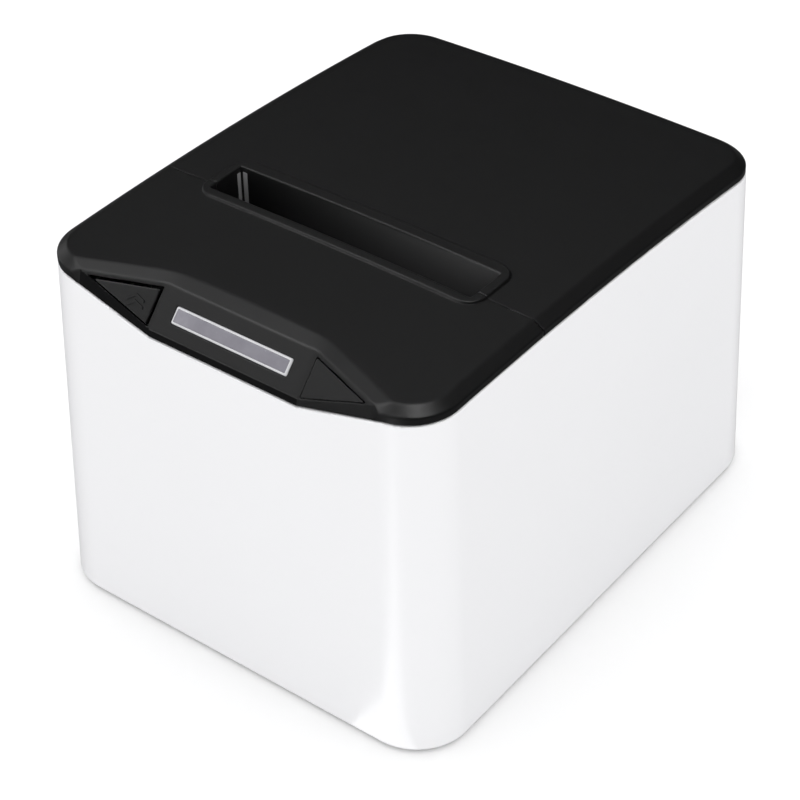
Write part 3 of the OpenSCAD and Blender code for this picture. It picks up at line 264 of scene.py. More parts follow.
def covers_outer(x, y, z, scooped):
    """Outer face of both covers, before the seam."""
    side = rounded_rect(x, y, BODY_W / 2, BODY_D / 2, CORNER_R)
    top = z - (parting(y) + RISE + crown(x))
    slope = math.hypot(CHAMFER_H, CHAMFER_W)
    chamfer = (CHAMFER_H * side + CHAMFER_W * (top + CHAMFER_H)) / slope
    d = smax(smax(side, chamfer, CHAMFER_BLEND), top, CHAMFER_BLEND)
    if scooped:
        strip, panels = scoop_faces(x, y, z)
        d = smax(smax(d, strip, SCOOP_BLEND), panels, PANEL_BLEND)
        d = smax(d, scoop_band(x, y, z), SCOOP_BLEND)
    return d


def cover_edge(x, y):
    """Height of the covers' lower edge: the parting line with the dip at the front."""
    slant = (parting(FRONT_Y) - DIP_Z) / (DIP_X - PANEL_X)
    dip = np.maximum(DIP_Z, parting(FRONT_Y) - (DIP_X - np.abs(x)) * slant)
    return np.where(y < FRONT_Y + DIP_DEPTH, np.minimum(parting(y), dip), parting(y))


def facet_triangle(borders):
    """Corners of the facet's triangle, each edge moved in by its own border, in the facet's plane."""
    a, b, c = [np.array(((p - SCOOP_B) @ FACET_EX, (p - SCOOP_B) @ FACET_EY))
               for p in (SCOOP_A, SCOOP_B, SCOOP_C)]
    upper, inner, lower = borders

    def moved_in(corner, left, right, from_left, from_right):
        u = (left - corner) / np.linalg.norm(left - corner)
        v = (right - corner) / np.linalg.norm(right - corner)
        return corner + (u * from_right + v * from_left) / abs(u[0] * v[1] - u[1] * v[0])

    return [moved_in(a, b, c, upper, lower), moved_in(b, c, a, inner, upper),
            moved_in(c, a, b, lower, inner)]


def triangle_prism(x, y, z, borders, k):
    """Prism on the key's triangle, square to the facet."""
    u, v = [(x - SCOOP_B[0]) * e[0] + (y - SCOOP_B[1]) * e[1] + (z - SCOOP_B[2]) * e[2]
            for e in (FACET_EX, FACET_EY)]
    corners = facet_triangle(borders)
    centre = sum(corners) / 3
    d = None
    for p, q in zip(corners, corners[1:] + corners[:1]):
        n = np.array((q[1] - p[1], p[0] - q[0])) / np.linalg.norm(q - p)
        if (centre - p) @ n > 0:
            n = -n
        edge = (u - p[0]) * n[0] + (v - p[1]) * n[1]
        d = edge if d is None else smax(d, edge, k)
    return d


def slot_prism(x, y, grow, r):
    """Distance to the paper slot's outline, grown on all sides."""
    return rounded_rect(x, y - SLOT_MID_Y, SLOT_X + grow, SLOT_HALF_Y + grow, r)


def covers(x, y, z, scooped):
    """Skin, raised rim and pocket of both covers, before the seam."""
    outer = covers_outer(x, y, z, scooped)
    skin = smax(outer, cover_edge(x, y) + REVEAL - z, COVER_FOOT_BLEND)
    skin = smax(skin, -(outer + SKIN), COVER_INSIDE_BLEND)
    mid = (SLOT_Y0 - RIM_FRONT + SLOT_Y1 + RIM_BACK) / 2
    half = (SLOT_Y1 + RIM_BACK - SLOT_Y0 + RIM_FRONT) / 2
    top = z - (parting(y) + RISE + crown(x))
    rim = rounded_rect(x, y - mid, SLOT_X + RIM_SIDE, half, RIM_CORNER_R)
    rim = smax(smax(rim, top - RIM_H, RIM_BLEND), -(top + SKIN), COVER_INSIDE_BLEND)
    d = smin(skin, rim, RIM_FOOT_BLEND)
    pocket = smax(slot_prism(x, y, POCKET_T, POCKET_CORNER_R),
                  np.maximum(SLOT_FLOOR - z, top + POCKET_SUNK), COVER_INSIDE_BLEND)
    d = np.minimum(d, pocket)
    return smax(d, -slot_prism(x, y, 0, SLOT_CORNER_R), SLOT_BLEND)


def window_outline(x, y, z, inset, r):
    """Distance to the window's outline on the panel."""
    up = (y - SCOOP_C[1]) * PANEL_UP[1] + (z - SCOOP_C[2]) * PANEL_UP[2]
    return rounded_rect(x, up - LENS_RISE - LENS_H / 2, LENS_W / 2 - inset, LENS_H / 2 - inset, r)


def front_cover_field(x, y, z):
    """Front cover with the keys' and the window's holes."""
    d = smax(covers(x, y, z, True), y - (SEAM_Y - SEAM_GAP / 2), SEAM_BLEND)
    ax = np.abs(x)
    key_hole = np.maximum(triangle_prism(ax, y, z, KEY_BORDER, KEY_HOLE_R),
                          -facet_plane(ax, y, z) - HOLE_DEPTH)
    d = smax(d, -key_hole, KEY_HOLE_BLEND)
    window = window_outline(x, y, z, 0, LENS_CORNER_R)
    return smax(d, -np.maximum(window, -panel_plane(x, y, z) - HOLE_DEPTH), LENS_BLEND)


def lid_cover_field(x, y, z):
    """Rear lid cover, hollowed behind to turn round the hinge."""
    d = smax(covers(x, y, z, False), SEAM_Y + SEAM_GAP / 2 - y, SEAM_BLEND)
    return smax(d, LID_SWEEP_R - np.hypot(y - HINGE_Y, z - HINGE_Z), COVER_INSIDE_BLEND)


def key_field(side, gaps, round_over):
    """Field of one key, whose top is flush with the facet."""
    borders = [border + gap for border, gap in zip(KEY_BORDER, gaps)]

    def field(x, y, z):
        sx = x * side
        height = facet_plane(sx, y, z)
        d = smax(triangle_prism(sx, y, z, borders, KEY_CORNER_R), height, round_over)
        return smax(d, -height - KEY_T, COVER_INSIDE_BLEND)
    return field


def lens_field(x, y, z):
    """Frosted middle of the window, a little below its bright edge."""
    height = panel_plane(x, y, z)
    middle = window_outline(x, y, z, LENS_EDGE, LENS_MIDDLE_R)
    d = smax(middle, height - LENS_PROUD + LENS_SUNK, LENS_BLEND)
    return smax(d, -height - LENS_T, LENS_BLEND)


def lens_edge_field(x, y, z):
    """Clear bevelled edge all round the window, whose pale colour is a painted highlight."""
    height = panel_plane(x, y, z)
    outer = window_outline(x, y, z, LENS_FIT, LENS_CORNER_R)
    bevel = (outer + height - LENS_PROUD + LENS_EDGE * BEVEL_SHARE) / math.sqrt(2)
    d = smax(smax(outer, bevel, LENS_BLEND), height - LENS_PROUD, LENS_BLEND)
    d = smax(d, -height - LENS_T, LENS_BLEND)
    return smax(d, -window_outline(x, y, z, LENS_EDGE, LENS_MIDDLE_R), LENS_INSIDE_BLEND)


def casing_field(x, y, z):
    """White casing: hollow, flared towards its foot, with its openings at the back."""
    share = (FLARE_TOP_Z - z) / (FLARE_TOP_Z - FOOT_GAP)
    out = FLARE * share
    r = CORNER_R + (BASE_CORNER_R - CORNER_R) * share
    side = rounded_rect(x, y, BODY_W / 2 + out, BODY_D / 2 + out, r)
    d = smax(side, z - cover_edge(x, y), CASING_TOP_BLEND)
    d = smax(d, FOOT_GAP - z, CASING_FOOT_BLEND)
    d = smax(d, -(side + WALL), CASING_INSIDE_BLEND)
    switch_x = (SWITCH_X - SWITCH_W / 2, SWITCH_X + SWITCH_W / 2)
    switch_z = (SWITCH_Z - SWITCH_H / 2, SWITCH_Z + SWITCH_H / 2)
    for across, xs, zs in ((np.abs(x), NOTCH_X, NOTCH_Z), (x, (-PORT_X, PORT_X), PORT_Z),
                           (x, switch_x, switch_z)):
        low, high = zip(xs, OPENING_Y, zs)
        d = smax(d, -box_field(across, y, z, low, high, OPENING_R), OPENING_BLEND)
    return d


# ---------------------------------------------------------------- meshing
# Rounds in which vertices settle on the surface, the least square of a field's rise, and the longest step
SETTLING_ROUNDS = 2
LEAST_RISE = 0.2
LONGEST_STEP = 0.4


def stations(stops, steps):
    """Coordinates from the first stop to the last, with one spacing for each stretch."""
    parts = [np.array([stops[0]])]
    for a, b, step in zip(stops, stops[1:], steps):
        n = max(1, round((b - a) / step))
        parts.append(a + (b - a) * np.arange(1, n + 1) / n)
    return np.concatenate(parts)


def gradient(field, p, h=0.02):
    """Direction in which a field rises, by differences over a small step."""
    g = np.empty_like(p)
    for axis in range(3):
        step = np.zeros(3)
        step[axis] = h
        g[:, axis] = (field(*(p + step).T) - field(*(p - step).T)) / (2 * h)
    return g


def surface_mesh(name, field, xs, ys, zs):
    """Closed mesh of the field's zero surface, with one vertex for each cell that it crosses."""
    f = field(xs[:, None, None], ys[None, :, None], zs[None, None, :])
    f = np.broadcast_to(f, (len(xs), len(ys), len(zs)))
    inside = f < 0
    cells = (len(xs) - 1, len(ys) - 1, len(zs) - 1)
    grid = (xs, ys, zs)
    ids, sums, quads = [], [], []
    for axis in range(3):
        low = [slice(None)] * 3
        high = [slice(None)] * 3
        low[axis], high[axis] = slice(None, -1), slice(1, None)
        crossing = inside[tuple(low)] != inside[tuple(high)]
        at = np.nonzero(crossing)
        f0, f1 = f[tuple(low)][at], f[tuple(high)][at]
        p = np.stack([grid[i][at[i]] for i in range(3)], axis=1)
        p[:, axis] += f0 / (f0 - f1) * (grid[axis][at[axis] + 1] - grid[axis][at[axis]])
        u, v = (axis + 1) % 3, (axis + 2) % 3
        ring = []
        for du, dv in ((-1, -1), (0, -1), (0, 0), (-1, 0)):
            cell = list(at)
            cell[u] = at[u] + du
            cell[v] = at[v] + dv
            ring.append(np.ravel_multi_index(cell, cells))
        ids.append(np.concatenate(ring))
        sums.append(np.concatenate([p] * 4))
        ring = np.stack(ring, axis=1)
        ring[f0 > 0] = ring[f0 > 0][:, ::-1]
        quads.append(ring)
    ids = np.concatenate(ids)
    used, inverse = np.unique(ids, return_inverse=True)
    count = np.bincount(inverse)
    sums = np.concatenate(sums)
    verts = np.stack([np.bincount(inverse, sums[:, i]) / count for i in range(3)], axis=1)
    for _ in range(SETTLING_ROUNDS):
        g = gradient(field, verts)
        step = field(*verts.T) / np.maximum((g * g).sum(axis=1), LEAST_RISE)
        verts = verts - np.clip(step, -LONGEST_STEP, LONGEST_STEP)[:, None] * g
    quads = np.searchsorted(used, np.concatenate(quads))
    mesh = bpy.data.meshes.new(name)
    mesh.from_pydata((verts * MM).tolist(), [], quads.tolist())
    mesh.validate()
    mesh.update()
    normals = gradient(field, verts)
    normals /= np.linalg.norm(normals, axis=1)[:, None]
    for polygon in mesh.polygons:
        polygon.use_smooth = True
    mesh.normals_split_custom_set_from_vertices(normals.tolist())
    obj = bpy.data.objects.new(name, mesh)
    bpy.context.scene.collection.objects.link(obj)
    return obj


# ---------------------------------------------------------------- materials
WINDOW_DEEP = (0.137, 0.132, 0.16)
WINDOW_PALE = (0.228, 0.221, 0.254)
# Painted light on the slot's walls: the colour at its shaded left end and at its lit right end
SLOT_SHADED_END = (0.006, 0.006, 0.0064)
SLOT_LIT_END = (0.062, 0.062, 0.063)
WHITE = (0.865, 0.865, 0.88)
BLACK = (0.0055, 0.0055, 0.0058)
# Depth of the grain's relief in metres, for moulded and for rolled or frosted surfaces
MOULDED_RELIEF = 0.00004
ROLLED_RELIEF = 0.00003
# The slot's painted light: its start below the rim, the height over which it fades in, how far it reaches
# outside the slot's walls, and the width over which it fades out there
SLOT_LIGHT_TOP = 1.3
SLOT_LIGHT_FADE = 1.0
SLOT_LIGHT_MARGIN = 0.2
SLOT_LIGHT_EDGE = 0.1


def material(name, color, roughness, build=None, **sockets):
    """Principled material; build adds its own nodes and links them."""
    m = bpy.data.materials.new(name)
    m.use_nodes = True
    shader = m.node_tree.nodes["Principled BSDF"]
    shader.inputs["Base Color"].default_value = (*color, 1)
    shader.inputs["Roughness"].default_value = roughness
    for socket, value in sockets.items():
        shader.inputs[socket.replace("_", " ")].default_value = value
    if build:
        build(m.node_tree, shader)
    return m


def noise(tree, scale, detail=4.0, rough=0.55):
    """Noise in the object's own coordinates."""
    where = tree.nodes.new("ShaderNodeTexCoord")
    n = tree.nodes.new("ShaderNodeTexNoise")
    n.inputs["Scale"].default_value = scale
    n.inputs["Detail"].default_value = detail
    n.inputs["Roughness"].default_value = rough
    tree.links.new(where.outputs["Object"], n.inputs["Vector"])
    return n.outputs["Fac"]


def ramp(tree, fac, low, high):
    """Maps 0 to 1 onto low to high."""
    n = tree.nodes.new("ShaderNodeMapRange")
    n.inputs["To Min"].default_value = low
    n.inputs["To Max"].default_value = high
    tree.links.new(fac, n.inputs["Value"])
    return n.outputs["Result"]


def mix_colours(tree, fac, dark, light):
    """Node that goes from one colour to another, which are values or sockets."""
    n = tree.nodes.new("ShaderNodeMix")
    n.data_type = "RGBA"
    for socket, colour in zip((n.inputs[6], n.inputs[7]), (dark, light)):
        if isinstance(colour, tuple):
            socket.default_value = (*colour, 1)
        else:
            tree.links.new(colour, socket)
    tree.links.new(fac, n.inputs[0])
    return n.outputs[2]


def tint(tree, shader, fac, dark, light):
    """Base colour that goes from dark to light with a factor."""
    tree.links.new(mix_colours(tree, fac, dark, light), shader.inputs["Base Color"])


def bump(tree, shader, height, strength, distance, edges=0.0):
    """Fine relief, over edges rounded by a radius in millimetres."""
    n = tree.nodes.new("ShaderNodeBump")
    n.inputs["Strength"].default_value = strength
    n.inputs["Distance"].default_value = distance
    tree.links.new(height, n.inputs["Height"])
    if edges:
        rounded = tree.nodes.new("ShaderNodeBevel")
        rounded.samples = 4
        rounded.inputs["Radius"].default_value = edges * MM
        tree.links.new(rounded.outputs["Normal"], n.inputs["Normal"])
    tree.links.new(n.outputs["Normal"], shader.inputs["Normal"])


def calculate(tree, operation, *values):
    """Node for a plain calculation with values or sockets."""
    n = tree.nodes.new("ShaderNodeMath")
    n.operation = operation
    for socket, value in zip(n.inputs, values):
        if isinstance(value, float):
            socket.default_value = value
        else:
            tree.links.new(value, socket)
    return n.outputs[0]


def product(tree, a, b):
    """Node for one value times another."""
    return calculate(tree, "MULTIPLY", a, b)


def between(tree, value, low, high):
    """Rises from 0 at low to 1 at high, both in millimetres."""
    n = tree.nodes.new("ShaderNodeMapRange")
    n.interpolation_type = "SMOOTHSTEP"
    n.inputs["From Min"].default_value = low * MM
    n.inputs["From Max"].default_value = high * MM
    tree.links.new(value, n.inputs["Value"])
    return n.outputs["Result"]


def axes(tree):
    """Sockets X, Y and Z of the place on the object, in metres."""
    where = tree.nodes.new("ShaderNodeTexCoord")
    split = tree.nodes.new("ShaderNodeSeparateXYZ")
    tree.links.new(where.outputs["Object"], split.inputs["Vector"])
    return split.outputs


def shade(color, share):
    """A colour made darker or lighter by a share."""
    return tuple(c * share for c in color)


def moulded(dark, light, low, high, grain, strength, edges):
    """Moulded plastic: fine spark texture, slow colour drift, and gloss that handling has worn unevenly."""
    def build(tree, shader):
        tint(tree, shader, noise(tree, 14), dark, light)
        handled = ramp(tree, noise(tree, 9, 6, 0.65), low - high, high - low)
        gloss = calculate(tree, "MULTIPLY_ADD", handled, 0.5, ramp(tree, noise(tree, 60), low, high))
        tree.links.new(gloss, shader.inputs["Roughness"])
        bump(tree, shader, noise(tree, grain, 3, 0.7), strength, MOULDED_RELIEF, edges)
    return build


def paint_slot_light(tree, shader):
    """Painted light on the walls inside the paper slot: paler towards its right end, over the shader's own
    colour.
    """
    at = axes(tree)
    low = parting(SLOT_MID_Y) + RISE + CROWN_H + RIM_H - SLOT_LIGHT_TOP
    end = SLOT_X + SLOT_LIGHT_MARGIN
    front = SLOT_MID_Y - SLOT_HALF_Y - SLOT_LIGHT_MARGIN
    back = SLOT_MID_Y + SLOT_HALF_Y + SLOT_LIGHT_MARGIN
    inside = between(tree, at["Z"], low + SLOT_LIGHT_FADE, low)
    for where, outer, inner in ((calculate(tree, "ABSOLUTE", at["X"]), end + SLOT_LIGHT_EDGE, end),
                                (at["Y"], front, front + SLOT_LIGHT_EDGE),
                                (at["Y"], back, back - SLOT_LIGHT_EDGE)):
        inside = product(tree, inside, between(tree, where, outer, inner))
    # Painted light: dark at the slot's left end, paler towards its right end
    slot_light_colour = mix_colours(tree, between(tree, at["X"], -SLOT_X, SLOT_X), SLOT_SHADED_END, SLOT_LIT_END)
    tint(tree, shader, inside, shader.inputs["Base Color"].links[0].from_socket, slot_light_colour)


def plastic(name, color, roughness, grain=2600, strength=0.35, spread=0.06, edges=0.0, **sockets):
    """Moulded plastic whose colour and roughness spread round the ones given."""
    build = moulded(shade(color, 1 - spread), shade(color, 1 + spread / 2),
                    roughness - 0.05, roughness + 0.05, grain, strength, edges)
    return material(name, color, roughness, build, **sockets)


def metal(name, color, roughness, stretch=(1, 1, 1), grain=900, edges=0.15):
    """Metal with brushed or rolled streaks along one direction."""
    def build(tree, shader):
        where = tree.nodes.new("ShaderNodeTexCoord")
        scale = tree.nodes.new("ShaderNodeMapping")
        scale.inputs["Scale"].default_value = stretch
        n = tree.nodes.new("ShaderNodeTexNoise")
        n.inputs["Scale"].default_value = grain
        n.inputs["Detail"].default_value = 3
        tree.links.new(where.outputs["Object"], scale.inputs["Vector"])
        tree.links.new(scale.outputs["Vector"], n.inputs["Vector"])
        fac = n.outputs["Fac"]
        tint(tree, shader, fac, shade(color, 0.9), color)
        tree.links.new(ramp(tree, fac, roughness - 0.06, roughness + 0.08), shader.inputs["Roughness"])
        bump(tree, shader, fac, 0.15, ROLLED_RELIEF, edges)
    return material(name, color, roughness, build, Metallic=1.0)


def clouded(tree, shader):
    """Frosted window: lavender, cloudy, and paler towards its left end where the light catches it."""
    left = between(tree, axes(tree)["X"], -LENS_W * 0.28, -LENS_W * 0.44)
    # Painted sheen: pale patches towards the window's left end, over the frosted cloudiness
    painted_sheen = product(tree, left, noise(tree, 420, 2, 0.5))
    cloud_and_sheen = calculate(tree, "ADD", noise(tree, 160, 3, 0.6), painted_sheen)
    tint(tree, shader, cloud_and_sheen, WINDOW_DEEP, WINDOW_PALE)
    tree.links.new(ramp(tree, noise(tree, 220), 0.16, 0.34), shader.inputs["Roughness"])
    bump(tree, shader, noise(tree, 900, 2, 0.6), 0.1, ROLLED_RELIEF)


MATERIALS = {
    "white_casing": plastic("white casing", WHITE, 0.34, strength=0.2, spread=0.012),
    "black_cover": plastic("black cover", BLACK, 0.4, strength=0.3, spread=0.1, Specular_IOR_Level=0.3),
    "black_band": plastic("dull black band", BLACK, 0.7, strength=0.3, spread=0.1, Specular_IOR_Level=0.04),
    "black_key": plastic("black key", BLACK, 0.34, strength=0.2, spread=0.1, Specular_IOR_Level=0.4),
    # Pale colour of the window's clear bevelled edge: a painted highlight
    "window_edge_highlight": plastic("window edge with painted highlight", (0.66, 0.66, 0.68), 0.12, strength=0.05, spread=0.03),
    "window": material("status window", (0.12, 0.115, 0.15), 0.25, clouded, Coat_Weight=0.3),
    # Light grey strips in the slot's corner: a painted highlight, on glossy strips
    "painted_highlight": plastic("painted corner highlight", (0.3, 0.3, 0.305), 0.2, strength=0.05, spread=0.05),
    "dark_plastic": plastic("dark plastic", (0.02, 0.02, 0.022), 0.5, strength=0.5, spread=0.15, edges=0.3),
    "ivory_plastic": plastic("acetal", (0.68, 0.65, 0.56), 0.38, strength=0.2, edges=0.2),
    "rubber": plastic("rubber", (0.018, 0.018, 0.019), 0.8, grain=1500, strength=0.7, spread=0.2, edges=0.4),
    "label": plastic("blank rating plate", (0.6, 0.6, 0.62), 0.35, grain=900, strength=0.25),
    "steel": metal("plated sheet", (0.58, 0.59, 0.6), 0.34, (1, 12, 1)),
    "bright_steel": metal("ground steel", (0.68, 0.69, 0.7), 0.2, (1, 20, 1)),
    "aluminium": metal("extruded aluminium", (0.72, 0.73, 0.74), 0.36, (0.1, 1, 1)),
    "brass": metal("turned brass", (0.72, 0.55, 0.26), 0.28),
    "board_green": plastic("solder mask", (0.015, 0.09, 0.04), 0.3, grain=500, strength=0.6, spread=0.25),
    "motor_can": metal("motor can", (0.16, 0.16, 0.18), 0.42),
    "ribbon": plastic("polyimide film", (0.42, 0.2, 0.05), 0.3, spread=0.15),
    "led": plastic("clear epoxy", (0.55, 0.56, 0.55), 0.15, spread=0.05),
    "ceramic": plastic("glazed ceramic", (0.6, 0.57, 0.5), 0.2, spread=0.06),
}
# The black cover's material gets painted light on the walls inside the slot
cover = MATERIALS["black_cover"].node_tree
paint_slot_light(cover, cover.nodes["Principled BSDF"])
slot_of = {entry["node"]: entry["material_slot"] for entry in frame["record"]["subparts"]}


def dress(obj, slot):
    """Gives an object one material alone."""
    obj.data.materials.clear()
    obj.data.materials.append(MATERIALS[slot])


for node, obj in frame["nodes"].items():
    for entry in obj.material_slots:
        entry.material = MATERIALS[slot_of[node]]


def place(name, field, body, node, xs, ys, zs):
    """Meshes a field, gives it its node's finish and lets it stand for that node."""
    obj = surface_mesh(name, field, xs, ys, zs)
    dress(obj, slot_of[node])
    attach(obj, body)
    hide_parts(node)
    return obj


def dull_band(mesh):
    """Dull finish on the faces below the left facet's and the panel's lower edges."""
    mesh.materials.append(MATERIALS["black_band"])
    centres = np.empty(3 * len(mesh.polygons))
    mesh.polygons.foreach_get("center", centres)
    x, y, z = centres.reshape(-1, 3).T / MM
    slope = (SCOOP_A[2] - SCOOP_C[2]) / (SCOOP_A[0] - SCOOP_C[0])
    edge = SCOOP_C[2] + np.maximum(-PANEL_X - x, 0) * slope
    dull = (z < edge - BAND_MARGIN) & (y < FRONT_Y + BAND_REACH) & (x > -SCOOP_X) & (x < PANEL_X)
    mesh.polygons.foreach_set("material_index", dull.astype(np.int32))


# ---------------------------------------------------------------- pieces
# Cell sizes: along the covers' edges, on the keys, on the window and on screws. The first and last stop of a
# grid lie just outside its piece, and cells are wider where the piece is plain.
FINE = 0.4
KEY_CELL = 0.3
LENS_CELL = 0.2
SCREW_CELL = 0.15
COVER_ZS = stations([105, 109, 127], [0.9, FINE])
KEY_YS = stations([-89.5, -75], [KEY_CELL])
KEY_ZS = stations([108, 125], [KEY_CELL])
LENS_GRID = (stations([-21.6, -19, 19, 21.6], [LENS_CELL, 2, LENS_CELL]),
             stations([-88, -76], [LENS_CELL]), stations([111, 123], [LENS_CELL]))

place("white_casing", casing_field, "base", "body_shell",
      stations([-75, -43, 43, 75], [0.8, 1.4, 0.8]),
      stations([-93.5, -70, 70, 93.5], [0.8, 3, 0.8]),
      stations([0.5, 6, 62, 104, 120], [0.6, 1.5, 6, 0.45]))
front_cover = place("front_top_cover", front_cover_field, "base", "front_cover",
                    stations([-71, 71], [FINE]),
                    stations([-89.2, -70, -42, -32], [FINE, 1.8, FINE]), COVER_ZS)
dull_band(front_cover.data)
place("rear_lid_cover", lid_cover_field, "lid", "lid_cover",
      stations([-71, -62, -53, -45, 45, 53, 62, 71], [FINE, 1.5, FINE, 2.2, FINE, 1.5, FINE]),
      stations([-33.5, -15, 68, 89.2], [FINE, 2.2, FINE]), COVER_ZS)
place("left_feed_key", key_field(-1, FEED_GAP, FEED_ROUND), "feed_key", "feed_key",
      stations([-54, -25], [KEY_CELL]), KEY_YS, KEY_ZS)
place("right_release_key", key_field(1, RELEASE_GAP, RELEASE_ROUND), "release_key", "release_key",
      stations([25, 54], [KEY_CELL]), KEY_YS, KEY_ZS)
place("status_window", lens_field, "base", "window_lens", *LENS_GRID)
# The window's edge, whose pale colour is a painted highlight
window_edge_highlight = place("window_edge_highlight", lens_edge_field, "base", "window_lens", *LENS_GRID)
dress(window_edge_highlight, "window_edge_highlight")


def finish_piece(name, shape, body, finish):
    """Turns a bmesh in millimetres into a piece that rides on a body."""
    bmesh.ops.recalc_face_normals(shape, faces=shape.faces[:])
    mesh = bpy.data.meshes.new(name)
    shape.to_mesh(mesh)
    shape.free()
    mesh.transform(Matrix.Scale(MM, 4))
    obj = bpy.data.objects.new(name, mesh)
    bpy.context.scene.collection.objects.link(obj)
    mesh.materials.append(MATERIALS[finish])
    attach(obj, body)
    return obj


def block(shape, low, high, width=0.08):
    """Adds a box with bevelled edges, from its lowest to its highest corner."""
    low, high = Vector(low), Vector(high)
    size = Matrix.Diagonal((*(high - low), 1))
    made = bmesh.ops.create_cube(shape, size=1, matrix=Matrix.Translation((low + high) / 2) @ size)
    edges = list({edge for vert in made["verts"] for edge in vert.link_edges})
    bmesh.ops.bevel(shape, geom=edges, offset=width, segments=2, profile=0.7, affect="EDGES")


def blocks(name, corners, body, finish, width=0.08):
    """One piece made of bevelled boxes, each given by its lowest and highest corner."""
    shape = bmesh.new()
    for low, high in corners:
        block(shape, low, high, width)
    return finish_piece(name, shape, body, finish)


# Glossy strips in the slot with a light grey painted highlight: their thickness and bevel, and where each
# starts and ends from the corner
HIGHLIGHT_STRIP_T = 0.15
HIGHLIGHT_STRIP_BEVEL = 0.06
END_STRIP = (0.7, 2.1)
REAR_STRIP = (0.6, 2.2)


def add_slot_highlight_strips():
    """Glossy strips on both walls of the slot's rear left corner, light grey as a painted highlight."""
    x, y = -SLOT_X, SLOT_Y1
    low, high = SLOT_FLOOR + 0.5, parting(SLOT_Y1) + RISE - 0.2
    end_strip = ((x, y - END_STRIP[1], low), (x + HIGHLIGHT_STRIP_T, y - END_STRIP[0], high))
    rear_strip = ((x + REAR_STRIP[0], y - HIGHLIGHT_STRIP_T, low), (x + REAR_STRIP[1], y, high))
    blocks("slot_corner_highlight_strips", [end_strip, rear_strip], "lid", "painted_highlight", HIGHLIGHT_STRIP_BEVEL)


# Outline of one chevron, the offset of the pair from the key's middle, and the two chevrons' places
CHEVRON = ((-2.8, -0.75), (0, 0.9), (2.8, -0.75), (2.8, 0.05), (0, 1.7), (-2.8, 0.05))
MARK_OFFSET = np.array((1.7, -0.4))
CHEVRON_LIFTS = (-1.2, 0.65)
# How deep a chevron is rooted in the key, its height, and the height and narrowing of its sloping top edge
MARK_ROOT = -0.1
MARK_H = 0.3
MARK_SLOPE_H = 0.06
MARK_NARROWING = 0.97


def add_feed_mark():
    """Two raised chevrons on the feed key."""
    corners = facet_triangle([border + gap for border, gap in zip(KEY_BORDER, FEED_GAP)])
    weights = [np.linalg.norm(corners[i - 1] - corners[i - 2]) for i in range(3)]
    middle = sum(w * c for w, c in zip(weights, corners)) / sum(weights)
    shape = bmesh.new()
    for lift in CHEVRON_LIFTS:
        rings = []
        for height, shrink in ((MARK_ROOT, 1.0), (MARK_H - MARK_SLOPE_H, 1.0), (MARK_H, MARK_NARROWING)):
            ring = []
            for u, v in CHEVRON:
                at = middle + MARK_OFFSET + np.array((u * shrink, v * shrink + lift))
                p = SCOOP_B + FACET_EX * at[0] + FACET_EY * at[1] + FACET_N * height
                ring.append(shape.verts.new((-p[0], p[1], p[2])))
            rings.append(ring)
        for low, high in zip(rings, rings[1:]):
            for i in range(len(CHEVRON)):
                shape.faces.new((low[i - 1], low[i], high[i], high[i - 1]))
        for ring in (rings[0], rings[-1]):
            for a, b, c, d in ((0, 1, 4, 5), (1, 2, 3, 4)):
                shape.faces.new((ring[a], ring[b], ring[c], ring[d]))
    finish_piece("feed_mark", shape, "feed_key", "black_key")


# The rear panel's and the sockets' outer faces, the main board's top, and the sockets' places across
PANEL_FACE_Y = BACK_Y - 0.8
SOCKET_FACE_Y = BACK_Y - 0.2
BOARD_TOP = 11.6
LAN_X, USB_X, DRAWER_X = -30.0, -8.0, 14.0
# Insides of the sockets: the heights that the contacts hang from, and the contacts' spacing
LAN_TOP = BOARD_TOP + 11.2
LAN_PITCH = 1.02
LAN_LIGHT_X = 5.2
DRAWER_TOP = BOARD_TOP + 10
DRAWER_PITCH = 1.27
TONGUE_TOP = BOARD_TOP + 7.1
TONGUE_T = 3.2
USB_CONTACT_X = 1.25
USB_CONTACT_T = 0.16
# The rear panel's screws: their places, head and cross recess. The dome's radius and its centre's depth
# are shares of the head's radius.
SCREW_XS = {"panel_screw_left": -42.5, "panel_screw_right": 43.6}
SCREW_Z = 18.0
SCREW_R = 1.7
SCREW_ROOT = 0.2
DOME_R = 2.2
DOME_DEPTH = 1.6
SCREW_RIM_BLEND = 0.1
SCREW_TOP_BLEND = 0.2
CROSS_HALF_W = 0.22
CROSS_REACH = 0.95
CROSS_FLOOR = 0.35
CROSS_BLEND = 0.08
# The rating plate underneath
PLATE_LOW = (-32, -6, FOOT_GAP - 0.12)
PLATE_HIGH = (32, 34, FOOT_GAP + 0.05)


def screw_field(cx, cz, y0, radius):
    """Pan head screw that stands out of the back, with a cross recess."""
    def field(x, y, z):
        dx, dz = abs(x - cx), abs(z - cz)
        r = np.hypot(x - cx, z - cz)
        dome = np.sqrt(r * r + (y - (y0 - DOME_DEPTH * radius)) ** 2) - DOME_R * radius
        head = smax(smax(r - radius, y0 - SCREW_ROOT - y, SCREW_RIM_BLEND), dome, SCREW_TOP_BLEND)
        cross = np.minimum(np.maximum(dx - CROSS_HALF_W, dz - CROSS_REACH),
                           np.maximum(dz - CROSS_HALF_W, dx - CROSS_REACH))
        return smax(head, -np.maximum(cross, y0 + CROSS_FLOOR - y), CROSS_BLEND)
    return field


def row(count):
    """Places of a row's members round its middle, in steps."""
    return [i - (count - 1) / 2 for i in range(count)]


def contact(x, half_width, inner, outer, low, high):
    """Corners of a strip inside a socket, by its depths behind the sockets' face and its heights."""
    return (x - half_width, SOCKET_FACE_Y - inner, low), (x + half_width, SOCKET_FACE_Y - outer, high)


